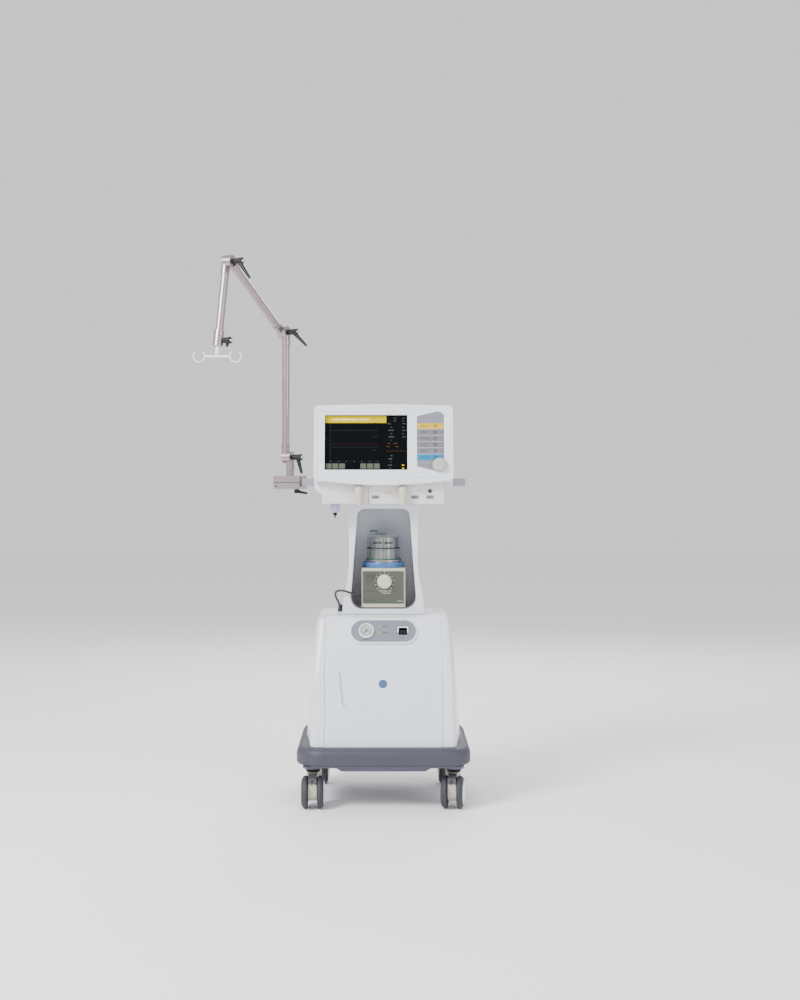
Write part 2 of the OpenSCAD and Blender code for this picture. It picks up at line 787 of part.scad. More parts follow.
// One half of an elbow, on one side of the split plane, with a flat-sided collar that points along +Z
module knuckle(side) {
    intersection() {
        union() {
            rotate([0, 90, 0]) cylinder(h = 2 * knuckle_t, r = knuckle_r, center = true);
            translate([side * knuckle_t / 2, 0, knuckle_r - 8]) cylinder(h = collar_len + 8, r = tube_r + 2);
        }
        translate([side > 0 ? split : -60, -60, -60]) cube([60 - split, 120, 180]);
    }
}

// Tube with the left half of an elbow at its foot and, if it has a head, the right half there
module link(length, head) {
    tube_low = knuckle_r + collar_len - 6;
    tube_high = head ? length - tube_low : length;
    difference() {
        union() {
            knuckle(-1);
            translate([-knuckle_t / 2, 0, tube_low]) cylinder(h = tube_high - tube_low, r = tube_r);
            if (head) translate([-knuckle_t, 0, length]) rotate([180, 0, 0]) knuckle(1);
        }
        translate([-knuckle_t / 2, 0, tube_low - 2]) cylinder(h = tube_high - tube_low + 4, r = tube_r - tube_wall);
        rotate([0, 90, 0]) cylinder(h = 60, r = bolt_r + pin_fit, center = true);
        if (head) translate([-knuckle_t, 0, length]) rotate([0, 90, 0]) cylinder(h = 60, r = bolt_r + pin_fit, center = true);
    }
}

module arm_post() {
    color(steel) {
        at_lower() difference() {
            rotate([180, 0, 0]) knuckle(1);
            rotate([0, 90, 0]) cylinder(h = 60, r = bolt_r + pin_fit, center = true);
        }
        translate([post_at[0], post_at[1], clamp_z[1] + gap]) cylinder(h = 22, r = tube_r);
        translate([post_at[0], post_at[1], clamp_z[0] + 13]) cylinder(h = 40, r = 8);
    }
}

module lower_arm() { color(steel) at_lower() link(lower_len, true); }

module middle_arm() { color(steel) at_middle() link(middle_len, true); }

// End arm with the split socket that holds the hose hook
module end_arm() {
    color(steel) at_end() {
        link(end_len - 22, false);
        translate([-knuckle_t / 2, 0, end_len - 26]) difference() {
            cylinder(h = 48, r = tube_r + 3.5);
            translate([0, 0, 16]) cylinder(h = 40, r = 6 + pin_fit);
            translate([-30, -1.5, 22]) cube([60, 3, 40]);
            translate([0, 0, 31]) rotate([0, 90, 0]) cylinder(h = 40, r = bolt_r + pin_fit);
        }
    }
}

// Open ring for one hose, with its mouth at the top
module hook(side) {
    translate([side * 55, 0, 0]) difference() {
        tube(18.5, 15.5, 3);
        translate([0, 0, -1]) linear_extrude(6) polygon([[0, 0], [26, 30], [-26, 30]]);
    }
}

// Double hose hook, turning in the end of the arm; its rings lie across the front
module hose_holder() {
    color("white") at_end() translate([-knuckle_t / 2, 0, end_len - 9]) {
        cylinder(h = 50, r = 6);
        translate([0, 0, 50]) rotate([end_lean, 0, 0]) rotate([0, 0, -arm_turn]) {
            sphere(r = 6.8);
            translate([0, 1.5, 12]) rotate([-90, 0, 0]) mirror([0, 0, 1]) {
                hook(-1);
                hook(1);
                translate([-38, -3, 0]) cube([76, 6, 3]);
            }
            translate([-6, -1.5, -4]) cube([12, 3, 16]);
        }
    }
}

// Clamping lever: its bolt goes in along -x and its handle slants down and out of the hub
module lever(bolt, slant, reach, hub) {
    color("black") {
        rotate([0, 90, 0]) translate([0, 0, 1]) cylinder(h = hub - 1, r1 = 8, r2 = 10.5);
        translate([hub * 0.6, 0, 0]) rotate([180, -slant, 0]) translate([0, 0, 4])
            cylinder(h = reach, r1 = 7, r2 = 4);
        rotate([0, 90, 0]) translate([0, 0, -bolt]) cylinder(h = bolt + 2, r = bolt_r);
        rotate([0, 90, 0]) translate([0, 0, hub]) cylinder(h = 6, r1 = 4, r2 = 2.6);
    }
}

module lever_clamp() {
    color("black") translate([screw_x, post_at[1], clamp_z[0] - 1]) {
        translate([0, 0, -12.5]) cylinder(h = 12.2, r = 9);
        translate([0, 0, -4]) cylinder(h = 20, r = 5);
        translate([0, 0, -7]) rotate([0, 100, 0]) cylinder(h = 34, r1 = 5, r2 = 3.4);
    }
}

module lever_lower() { at_lower() translate([knuckle_t, 0, 0]) lever(bolt_len, 16, 50, hub_len); }

module lever_middle() { at_lower() translate([0, 0, lower_len]) lever(bolt_len, 46, 62, hub_len); }

module lever_upper() { at_middle() translate([0, 0, middle_len]) rotate([-middle_lean, 0, 0]) lever(bolt_len, 36, 62, hub_len); }

module lever_end() {
    at_end() translate([-knuckle_t / 2 + tube_r + 3.5, 0, end_len + 5]) rotate([180, 0, 0]) lever(8, 4, 16, 27);
}

module caster_fl_fork() { caster_fork(0); }
module caster_fr_fork() { caster_fork(1); }
module caster_rl_fork() { caster_fork(2); }
module caster_rr_fork() { caster_fork(3); }
module caster_fl_wheels() { caster_wheels(0); }
module caster_fr_wheels() { caster_wheels(1); }
module caster_rl_wheels() { caster_wheels(2); }
module caster_rr_wheels() { caster_wheels(3); }
module caster_fl_pedal() { caster_pedal(0); }
module caster_fr_pedal() { caster_pedal(1); }

base_frame();
base_bumper();
cabinet_front();
cabinet_sides();
cabinet_rear();
air_compressor();
rear_inlets();
control_plate();
gauge_case();
gauge_needle();
power_rocker();
column_post();
column_shell();
humidifier_case();
humidifier_plate();
humidifier_dial();
heater_collar();
chamber_core();
chamber_dome();
chamber_rings();
humidifier_cord();
cord_ends();
port_block();
exhale_module();
breathing_ports();
trap_cup();
head_shell();
head_chassis();
cross_rail();
monitor_bezel();
screen();
key_panel();
key_1();
key_2();
key_3();
key_4();
key_5();
key_6();
encoder_knob();
arm_clamp();
arm_post();
lower_arm();
middle_arm();
end_arm();
hose_holder();
lever_clamp();
lever_lower();
lever_middle();
lever_upper();
lever_end();
caster_fl_fork();
caster_fr_fork();
caster_rl_fork();
caster_rr_fork();
caster_fl_wheels();
caster_fr_wheels();
caster_rl_wheels();
caster_rr_wheels();
caster_fl_pedal();
caster_fr_pedal();
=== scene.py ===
"""Looks of an intensive-care ventilator on a wheeled cabinet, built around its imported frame.

Meshes are made in millimetres of the shared frame (+X right, +Y back, +Z up) and stored in metres.
"""

import json
import logging
import math
from collections.abc import Sequence
from dataclasses import dataclass
from enum import Enum

import bmesh
import bpy
from mathutils import Matrix, Vector


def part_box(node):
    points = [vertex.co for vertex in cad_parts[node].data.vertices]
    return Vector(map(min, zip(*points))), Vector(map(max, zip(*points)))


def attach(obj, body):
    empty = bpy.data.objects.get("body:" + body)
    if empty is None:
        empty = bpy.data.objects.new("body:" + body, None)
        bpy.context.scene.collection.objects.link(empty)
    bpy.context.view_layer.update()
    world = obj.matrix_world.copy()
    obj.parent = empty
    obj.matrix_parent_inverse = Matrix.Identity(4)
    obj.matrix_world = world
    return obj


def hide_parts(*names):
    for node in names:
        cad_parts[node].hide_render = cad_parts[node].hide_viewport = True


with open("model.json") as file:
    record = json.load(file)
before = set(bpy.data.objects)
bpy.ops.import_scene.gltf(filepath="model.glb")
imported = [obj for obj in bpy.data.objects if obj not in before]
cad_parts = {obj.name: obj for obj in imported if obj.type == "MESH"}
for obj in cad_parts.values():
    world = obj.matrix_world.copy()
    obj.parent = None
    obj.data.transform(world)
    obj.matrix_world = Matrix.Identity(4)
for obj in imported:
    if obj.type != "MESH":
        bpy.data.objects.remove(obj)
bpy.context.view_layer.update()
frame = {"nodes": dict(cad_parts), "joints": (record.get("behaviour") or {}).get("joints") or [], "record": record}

log = logging.getLogger("ventilator")

MM = 0.001
CART = "cart"
IDENTITY = Matrix.Identity(4)

# Turns a plate's or a profile's +Z to the front, so that x is right, y is up and z is out of the front.
FACING = Matrix.Rotation(math.radians(90), 4, "X")

Pair = tuple[float, float]
Point = tuple[float, float, float]


# ---- finishes ----


class Surface(Enum):
    """How a surface was made, which sets how its fine relief stretches along X, Y and Z."""

    MOULDED = (1.0, 1.0, 1.0)
    BRUSHED_LEVEL = (0.04, 0.04, 1.0)
    BRUSHED_UPRIGHT = (1.0, 1.0, 0.04)


def linear(colour: str) -> tuple[float, float, float, float]:
    """Turns an sRGB hex colour to linear.

    Args:
        colour: Six hex digits after a hash.

    Returns:
        Red, green, blue and an alpha of 1.
    """
    shares = [int(colour[i : i + 2], 16) / 255 for i in (1, 3, 5)]
    red, green, blue = (s / 12.92 if s <= 0.04045 else ((s + 0.055) / 1.055) ** 2.4 for s in shares)
    return red, green, blue, 1.0


def add_node(tree: bpy.types.NodeTree, kind: str, values: dict, links: dict) -> bpy.types.Node:
    """Adds a shader node.

    Args:
        tree: The material's node tree.
        kind: Blender's name of the node type.
        values: Settings by input name or number, or by the node's own attribute.
        links: Output sockets by the input they feed.

    Returns:
        The new node.
    """
    node = tree.nodes.new(kind)
    for key, value in values.items():
        if isinstance(key, str) and hasattr(node, key):
            setattr(node, key, value)
        else:
            node.inputs[key].default_value = value
    for key, socket in links.items():
        tree.links.new(socket, node.inputs[key])
    return node


@dataclass(frozen=True)
class Finish:
    """A finish of one real material, with fine relief, a faint unevenness of tone and of gloss."""

    name: str
    colour: str
    roughness: float
    surface: Surface = Surface.MOULDED
    metallic: float = 0.0
    ior: float = 1.5
    coat: float = 0.0
    clearness: float = 0.0
    glow: float = 0.0
    grain_mm: float = 1.2
    relief_mm: float = 0.02
    patch_mm: float = 90.0
    unevenness: float = 0.04

    def material(self) -> bpy.types.Material:
        """Returns the finish's material, made on its first use."""
        known = bpy.data.materials.get(self.name)
        if known:
            return known
        made = bpy.data.materials.new(self.name)
        made.use_nodes = True
        tree = made.node_tree
        tree.nodes.clear()
        where = add_node(tree, "ShaderNodeTexCoord", {}, {})
        stretch = add_node(
            tree, "ShaderNodeMapping", {"Scale": self.surface.value}, {"Vector": where.outputs["Object"]}
        )
        fine = add_node(
            tree, "ShaderNodeTexNoise", {"Scale": 1 / (self.grain_mm * MM), "Detail": 3.0},
            {"Vector": stretch.outputs["Vector"]},
        )
        broad = add_node(
            tree, "ShaderNodeTexNoise", {"Scale": 1 / (self.patch_mm * MM), "Detail": 4.0},
            {"Vector": where.outputs["Object"]},
        )
        relief = add_node(
            tree, "ShaderNodeBump", {"Strength": 1.0, "Distance": self.relief_mm * MM},
            {"Height": fine.outputs["Fac"]},
        )
        colour = linear(self.colour)
        darker = tuple(c * (1 - self.unevenness) for c in colour[:3]) + (1.0,)
        tone = add_node(
            tree, "ShaderNodeMix", {"data_type": "RGBA", 6: darker, 7: colour}, {0: broad.outputs["Fac"]}
        )
        gloss = add_node(
            tree, "ShaderNodeMapRange",
            {"From Min": 0.3, "From Max": 0.7, "To Min": self.roughness * 0.85,
             "To Max": self.roughness * 1.15},
            {"Value": broad.outputs["Fac"]},
        )
        shader = add_node(
            tree, "ShaderNodeBsdfPrincipled",
            {"Metallic": self.metallic, "IOR": self.ior, "Coat Weight": self.coat,
             "Transmission Weight": self.clearness, "Emission Color": colour, "Emission Strength": self.glow},
            {"Base Color": tone.outputs[2], "Roughness": gloss.outputs["Result"],
             "Normal": relief.outputs["Normal"]},
        )
        add_node(tree, "ShaderNodeOutputMaterial", {}, {"Surface": shader.outputs["BSDF"]})
        return made


# Injection-moulded ABS, polished: cool white with a soft sheen.
WHITE_ABS = Finish("moulded_white_abs", "#DFE3EC", 0.28, coat=0.25, relief_mm=0.006)
# Column cover of the same ABS, from an eroded mould: less shiny.
SATIN_ABS = Finish("satin_white_abs", "#D9DCE4", 0.42, relief_mm=0.012)
# Cast housing in warm white two-pack paint.
WARM_PAINT = Finish("warm_white_housing_paint", "#D9D5D3", 0.34, coat=0.15, grain_mm=2.5, relief_mm=0.008)
# Painted shade: white ABS darkened to grey, standing in for the shade down in a narrow groove.
CREASE_SHADE_PAINT = Finish("painted_groove_shade", "#8E9099", 0.5, relief_mm=0.006)
# Slate-blue moulded badge.
BADGE_ABS = Finish("slate_blue_abs", "#3A5F8A", 0.35, relief_mm=0.01)
# Soft polyurethane foam skin of the bumper: dull, faintly pitted.
BUMPER_PU = Finish("bumper_polyurethane", "#3D3E4B", 0.55, grain_mm=1.6, relief_mm=0.05, unevenness=0.08)
# Powder-coated steel plate: orange peel of about 3 mm.
FRAME_COAT = Finish("powder_coated_steel", "#5E5D74", 0.5, grain_mm=3.0, relief_mm=0.04)
# Oiled dark steel of the swivel races.
RACE_STEEL = Finish("blackened_race_steel", "#1C1614", 0.4, metallic=0.6, grain_mm=0.8)
# Cream nylon of the caster forks.
FORK_NYLON = Finish("cream_nylon_fork", "#CBC6B6", 0.45, relief_mm=0.03)
# Grey thermoplastic rubber tread: matt with faint scuffs.
TREAD_RUBBER = Finish("grey_tread_rubber", "#36373D", 0.62, grain_mm=1.0, relief_mm=0.06, unevenness=0.14)
# Translucent polypropylene wheel covers.
COVER_PP = Finish("milky_polypropylene_cover", "#DCDEE2", 0.4, relief_mm=0.015)
# Grey glass-filled nylon of the brake pedals.
PEDAL_NYLON = Finish("grey_nylon_pedal", "#46474C", 0.5, relief_mm=0.04)
# Screen-printed polyester film, matt grey.
PLATE_FILM = Finish("grey_polyester_film", "#757785", 0.5, grain_mm=0.7, relief_mm=0.01)
# Enamelled dial sheet of the gauge.
DIAL_ENAMEL = Finish("gauge_dial_enamel", "#F4F4F2", 0.35, relief_mm=0.004)
# Printed black ink.
INK = Finish("black_print_ink", "#0E0E12", 0.5, relief_mm=0.002)
# Gloss black polycarbonate.
BLACK_PC = Finish("black_polycarbonate", "#050507", 0.25, relief_mm=0.004)
# Green indicator lens.
LAMP_GREEN = Finish("green_lamp_lens", "#5FBF63", 0.2, glow=0.5)
# Amber indicator lens.
LAMP_AMBER = Finish("amber_lamp_lens", "#D8A23A", 0.2, glow=0.3)
# Fine powder coat in cream on the humidifier's case.
CASE_COAT = Finish("cream_powder_coat", "#B9B5A0", 0.48, grain_mm=2.0, relief_mm=0.03)
# Grey-green printed front film of the humidifier.
FACE_FILM = Finish("grey_green_front_film", "#4A4D44", 0.5, grain_mm=0.7, relief_mm=0.01)
# Ivory urea-formaldehyde dial.
DIAL_UREA = Finish("ivory_urea_dial", "#CBC8B8", 0.4, relief_mm=0.02)
# Blue acetal collar of the heater.
COLLAR_ACETAL = Finish("blue_acetal_collar", "#3F679F", 0.38, relief_mm=0.02)
# Clear polycarbonate of the water chamber; refraction kept low so that its thin wall stays clear.
CHAMBER_PC = Finish("clear_polycarbonate", "#EEF3F5", 0.04, ior=1.25, clearness=0.95, relief_mm=0.002)
# Rolled stainless steel sleeve and heat plate.
STAINLESS = Finish(
    "rolled_stainless_steel", "#B9B2AF", 0.24, Surface.BRUSHED_UPRIGHT, metallic=1.0, grain_mm=1.5,
    relief_mm=0.004, patch_mm=25.0, unevenness=0.22,
)
# The sleeve's pressed flutes as darker brownish steel strips: painted shade down in the flutes.
FLUTE_SHADE_STEEL = Finish("steel_flute_painted_shade", "#6B5F5A", 0.35, metallic=0.9, relief_mm=0.004, unevenness=0.2)
# Green silicone seals.
SILICONE = Finish("green_silicone", "#04543A", 0.45, relief_mm=0.01)
# PVC sheath of the lead: matt, dark grey.
PVC_SHEATH = Finish("dark_pvc_sheath", "#2E3034", 0.55, grain_mm=0.8, relief_mm=0.03, unevenness=0.1)
# Cream acetal of the breathing ports.
PORT_ACETAL = Finish("cream_acetal_port", "#C2BDAC", 0.36, relief_mm=0.015)
# Tinted polysulfone of the water trap.
TRAP_PSU = Finish("tinted_polysulfone", "#D3D6EE", 0.18, ior=1.35, clearness=0.55, relief_mm=0.004)
# Display glass over a dark panel.
PANEL_GLASS = Finish("dark_panel_glass", "#0A0D10", 0.1, ior=1.12, relief_mm=0.001)
# Grey membrane film of the key panel.
PAD_FILM = Finish("grey_membrane_film", "#7C7C88", 0.46, grain_mm=0.6, relief_mm=0.012)
KEY_FILM = Finish("grey_key_film", "#6E6F78", 0.46, grain_mm=0.6, relief_mm=0.012)
YELLOW_FILM = Finish("yellow_key_film", "#C8A22C", 0.46, grain_mm=0.6, relief_mm=0.012)
CYAN_FILM = Finish("cyan_key_film", "#0878A4", 0.46, grain_mm=0.6, relief_mm=0.012)
# Soft-touch moulding of the encoder knob.
KNOB_TPE = Finish("soft_touch_knob", "#AFAFA8", 0.5, grain_mm=0.8, relief_mm=0.05)
# Satin-anodised aluminium of arm and rail, drawn tube: faint lengthwise lines.
ANODISED = Finish(
    "satin_anodised_aluminium", "#A79A9F", 0.34, Surface.BRUSHED_UPRIGHT, metallic=0.85, grain_mm=1.2,
    relief_mm=0.0004, patch_mm=45.0, unevenness=0.12,
)
# Cast and tumbled aluminium of the knuckles and the clamp.
CAST_ALU = Finish(
    "tumbled_cast_aluminium", "#A4979C", 0.4, metallic=0.7, grain_mm=2.0, relief_mm=0.01, unevenness=0.15
)
RAIL_ALU = Finish(
    "anodised_rail", "#ABA9B8", 0.34, Surface.BRUSHED_LEVEL, metallic=0.75, grain_mm=1.2, relief_mm=0.004
)
# Glass-filled nylon of the clamping levers: black, slightly dull.
LEVER_NYLON = Finish("black_glass_filled_nylon", "#080706", 0.42, grain_mm=1.0, relief_mm=0.05)
# Zinc-plated steel of screws and tips.
ZINC = Finish("zinc_plated_steel", "#B8B6B4", 0.3, metallic=1.0, relief_mm=0.01)
# White polyoxymethylene of the hose hook.
HOOK_POM = Finish("white_pom_hook", "#E6E8EC", 0.36, relief_mm=0.015)
# Folded and brushed steel sheet behind the covers.
SHEET_STEEL = Finish(
    "brushed_sheet_steel", "#A9A9AC", 0.36, Surface.BRUSHED_LEVEL, metallic=1.0, grain_mm=1.0, relief_mm=0.015
)
# Lit colours of the display.
LIT_BAND_TEXT = Finish("lit_band_text", "#EFE7B8", 0.3, ior=1.12, glow=0.8)
LIT_YELLOW = Finish("lit_yellow", "#B8A000", 0.3, ior=1.12, glow=0.25)
LIT_PALE = Finish("lit_pale", "#5C625F", 0.3, ior=1.12, glow=0.5)
LIT_DIM = Finish("lit_dim_grey", "#2A2F33", 0.3, ior=1.12, glow=0.4)
LIT_RED = Finish("lit_red", "#4E1C16", 0.3, ior=1.12, glow=0.4)
LIT_ORANGE = Finish("lit_orange", "#7A4212", 0.3, ior=1.12, glow=0.5)
LIT_SOFT_KEY = Finish("lit_grey_green", "#4A5246", 0.3, ior=1.12, glow=0.4)
# Red print on the housing label.
RED_INK = Finish("red_print_ink", "#A03A30", 0.5, relief_mm=0.002)
LABEL_FILM = Finish("grey_label_film", "#77767C", 0.5, relief_mm=0.004)
WHITE_INK = Finish("white_print_ink", "#D5D5CB", 0.5, relief_mm=0.002)


# ---- forms ----


def circle(radius: float, count: int = 32) -> list[Pair]:
    """Returns points of a circle round the origin."""
    angles = [math.tau * i / count for i in range(count)]
    return [(radius * math.cos(angle), radius * math.sin(angle)) for angle in angles]


def rounded_rectangle(width: float, height: float, radius: float, per_corner: int = 8) -> list[Pair]:
    """Returns the outline of a rectangle with round corners.

    Args:
        width: Whole width.
        height: Whole height.
        radius: Radius of the corners.
        per_corner: Steps of each corner's arc.

    Returns:
        Points against the clock from the right edge's top.
    """
    outline = []
    for quarter, (sx, sy) in enumerate(((1, 1), (-1, 1), (-1, -1), (1, -1))):
        centre_x, centre_y = sx * (width / 2 - radius), sy * (height / 2 - radius)
        for step in range(per_corner + 1):
            angle = (quarter + step / per_corner) * math.pi / 2
            outline.append((centre_x + radius * math.cos(angle), centre_y + radius * math.sin(angle)))
    return outline


def moved(place: Matrix, x: float, y: float, z: float = 0.0) -> Matrix:
    """Returns a place moved along its own axes."""
    return place @ Matrix.Translation((x, y, z))


def spun(place: Matrix, degrees: float) -> Matrix:
    """Returns a place turned about its own z."""
    return place @ Matrix.Rotation(math.radians(degrees), 4, "Z")


def joint(name: str) -> dict:
    """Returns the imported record's joint of that name."""
    return next(j for j in frame["joints"] if j["name"] == name)


def joint_place(name: str) -> Matrix:
    """Returns the place of a hinge, in millimetres, with +Z along its axis."""
    found = joint(name)
    turn = Vector(found["axis"]).to_track_quat("Z", "Y").to_matrix().to_4x4()
    return Matrix.Translation(Vector(found["pos_m"]) / MM) @ turn


def front_place(name: str) -> Matrix:
    """Returns the place of a hinge on a face that looks to the front: x right, y up the face, z out of it."""
    found = joint(name)
    axis = Vector(found["axis"])
    tilt = math.atan2(-axis.z, axis.y)
    return Matrix.Translation(Vector(found["pos_m"]) / MM) @ Matrix.Rotation(math.pi / 2 - tilt, 4, "X")


def node_box(name: str) -> tuple[Vector, Vector]:
    """Returns the lowest and highest corner of a CAD node, in millimetres."""
    low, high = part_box(name)
    return low / MM, high / MM


class Form:
    """A mesh in the making, in millimetres of the shared frame."""

    def __init__(self) -> None:
        """Starts an empty form."""
        self.mesh = bmesh.new()
        self.eased_verts: set = set()

    @classmethod
    def of_node(cls, *nodes: str) -> "Form":
        """Starts a form from welded copies of CAD nodes.

        Args:
            nodes: Names of the CAD nodes.

        Returns:
            The form, with flat stretches joined to single faces.
        """
        form = cls()
        for node in nodes:
            form.mesh.from_mesh(frame["nodes"][node].data)
        bmesh.ops.scale(form.mesh, vec=(1 / MM,) * 3, verts=form.mesh.verts)
        bmesh.ops.remove_doubles(form.mesh, verts=form.mesh.verts, dist=0.01)
        bmesh.ops.dissolve_limit(
            form.mesh, angle_limit=math.radians(0.8), verts=form.mesh.verts, edges=form.mesh.edges
        )
        return form

    def _settle(self, old: set, place: Matrix) -> "Form":
        """Welds the vertices that aren't in old and puts them in place."""
        fresh = [v for v in self.mesh.verts if v not in old]
        bmesh.ops.remove_doubles(self.mesh, verts=fresh, dist=0.001)
        fresh = [v for v in self.mesh.verts if v not in old]
        bmesh.ops.transform(self.mesh, matrix=place, verts=fresh)
        return self

    def block(self, low: Sequence[float], high: Sequence[float], place: Matrix = IDENTITY) -> "Form":
        """Adds a block between two corners."""
        size = Vector(high) - Vector(low)
        middle = (Vector(high) + Vector(low)) / 2
        spot = place @ Matrix.Translation(middle) @ Matrix.Diagonal(size.to_4d())
        bmesh.ops.create_cube(self.mesh, size=1.0, matrix=spot)
        return self

    def plate(self, outline: Sequence[Pair], low: float, high: float, place: Matrix = IDENTITY) -> "Form":
        """Adds an outline in x and y, drawn out from z low to z high."""
        old = set(self.mesh.verts)
        face = self.mesh.faces.new([self.mesh.verts.new((x, y, low)) for x, y in outline])
        drawn = bmesh.ops.extrude_face_region(self.mesh, geom=[face])["geom"]
        lifted = [part for part in drawn if isinstance(part, bmesh.types.BMVert)]
        bmesh.ops.translate(self.mesh, verts=lifted, vec=(0, 0, high - low))
        return self._settle(old, place)

    def turned(self, profile: Sequence[Pair], place: Matrix = IDENTITY, steps: int = 48) -> "Form":
        """Adds a profile of radii and heights, spun round z."""
        old = set(self.mesh.verts)
        points = [self.mesh.verts.new((radius, 0, height)) for radius, height in profile]
        edges = [self.mesh.edges.new(pair) for pair in zip(points, points[1:])]
        bmesh.ops.spin(
            self.mesh, geom=[*points, *edges], cent=(0, 0, 0), axis=(0, 0, 1), angle=math.tau, steps=steps,
            use_merge=True,
        )
        return self._settle(old, place)

    def lofted(
        self, loops: Sequence[Sequence[Point]], ring: bool = False, place: Matrix = IDENTITY
    ) -> "Form":
        """Adds a skin over closed loops of points.

        Args:
            loops: Closed loops with the same number of points each.
            ring: Whether the last loop joins the first, as in a ring; otherwise both ends are capped.
            place: Where the form goes.

        Returns:
            This form.
        """
        old = set(self.mesh.verts)
        rows, edges = [], []
        for loop in loops:
            row = [self.mesh.verts.new(point) for point in loop]
            rows.append(row)
            edges.append([self.mesh.edges.new(pair) for pair in zip(row, row[1:] + row[:1])])
        pairs = list(zip(edges, edges[1:])) + ([(edges[-1], edges[0])] if ring else [])
        for lower, upper in pairs:
            bmesh.ops.bridge_loops(self.mesh, edges=lower + upper)
        if not ring:
            self.mesh.faces.new(rows[0])
            self.mesh.faces.new(rows[-1])
        return self._settle(old, place)

    def letters(self, text: str, height: float, place: Matrix, centred: bool = False) -> "Form":
        """Adds raised letters, 0.15 mm thick, whose foot starts at the place."""
        drawn = bpy.data.curves.new("letters", "FONT")
        drawn.body = text
        drawn.size = height * 1.4
        drawn.extrude = 0.075
        drawn.resolution_u = 2
        drawn.align_x = "CENTER" if centred else "LEFT"
        holder = bpy.data.objects.new("letters", drawn)
        bpy.context.scene.collection.objects.link(holder)
        bpy.context.view_layer.update()
        flat = bpy.data.meshes.new_from_object(holder.evaluated_get(bpy.context.evaluated_depsgraph_get()))
        old = set(self.mesh.verts)
        self.mesh.from_mesh(flat)
        bpy.data.objects.remove(holder)
        bpy.data.curves.remove(drawn)
        bpy.data.meshes.remove(flat)
        return self._settle(old, place)

    def eased(self, width: float, segments: int = 3, sharper_than: float = 30.0) -> "Form":
        """Rounds the edges made since the last call.

        Args:
            width: Width of the rounding.
            segments: Its steps.
            sharper_than: Least angle in degrees between the faces of an edge that is rounded.

        Returns:
            This form.
        """
        least = math.radians(sharper_than)
        edges = [
            e for e in self.mesh.edges
            if e.is_manifold and e.verts[0] not in self.eased_verts and e.calc_face_angle(0.0) > least
        ]
        bmesh.ops.bevel(
            self.mesh, geom=edges, offset=width, offset_type="OFFSET", segments=segments, profile=0.5,
            affect="EDGES", material=-1, clamp_overlap=True,
        )
        self.eased_verts = set(self.mesh.verts)
        return self

    def piece(
        self, name: str, finish: Finish, slot: str, body: str = CART, stands_for: Sequence[str] = (),
        smooth_below: float = 35.0,
    ) -> bpy.types.Object:
        """Finishes the form as an object.

        Args:
            name: The piece's name.
            finish: Its finish.
            slot: The record's material slot; not used.
            body: The CAD body it rides on.
            stands_for: CAD nodes that it replaces.
            smooth_below: Edges at a smaller angle, in degrees, are shaded smooth.

        Returns:
            The object.
        """
        bmesh.ops.recalc_face_normals(self.mesh, faces=self.mesh.faces)
        bmesh.ops.scale(self.mesh, vec=(MM,) * 3, verts=self.mesh.verts)
        data = bpy.data.meshes.new(name)
        self.mesh.to_mesh(data)
        self.mesh.free()
        data.materials.clear()
        data.materials.append(finish.material())
        data.polygons.foreach_set("material_index", [0] * len(data.polygons))
        data.polygons.foreach_set("use_smooth", [True] * len(data.polygons))
        data.set_sharp_from_angle(angle=math.radians(smooth_below))
        made = bpy.data.objects.new(name, data)
        bpy.context.scene.collection.objects.link(made)
        fair = made.modifiers.new("even_shading", "WEIGHTED_NORMAL")
        fair.keep_sharp = True
        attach(made, body)
        if stands_for:
            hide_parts(*stands_for)
        log.info("%s: %d faces, rides on %s", name, len(data.polygons), body)
        return made


def dress(node: str, finish: Finish) -> None:
    """Gives a CAD node that keeps its shape its finish."""
    shown = frame["nodes"][node]
    shown.data.materials.clear()
    shown.data.materials.append(finish.material())
    log.info("%s: CAD shape, %s", node, finish.name)


def softened(
    node: str, name: str, finish: Finish, slot: str, width: float, body: str = CART, segments: int = 3,
    sharper_than: float = 30.0,
) -> None:
    """Makes a piece that is a CAD node with rounded edges.

    Args:
        node: The CAD node, which the piece replaces.
        name: The piece's name.
        finish: Its finish.
        slot: The record's material slot, passed on to piece, which doesn't use it.
        width: Width of the rounding.
        body: The CAD body it rides on.
        segments: Steps of the rounding.
        sharper_than: Least angle in degrees between the faces of an edge that is rounded.
    """
    Form.of_node(node).eased(width, segments, sharper_than).piece(name, finish, slot, body, [node])


# ---- camera, light and floor ----


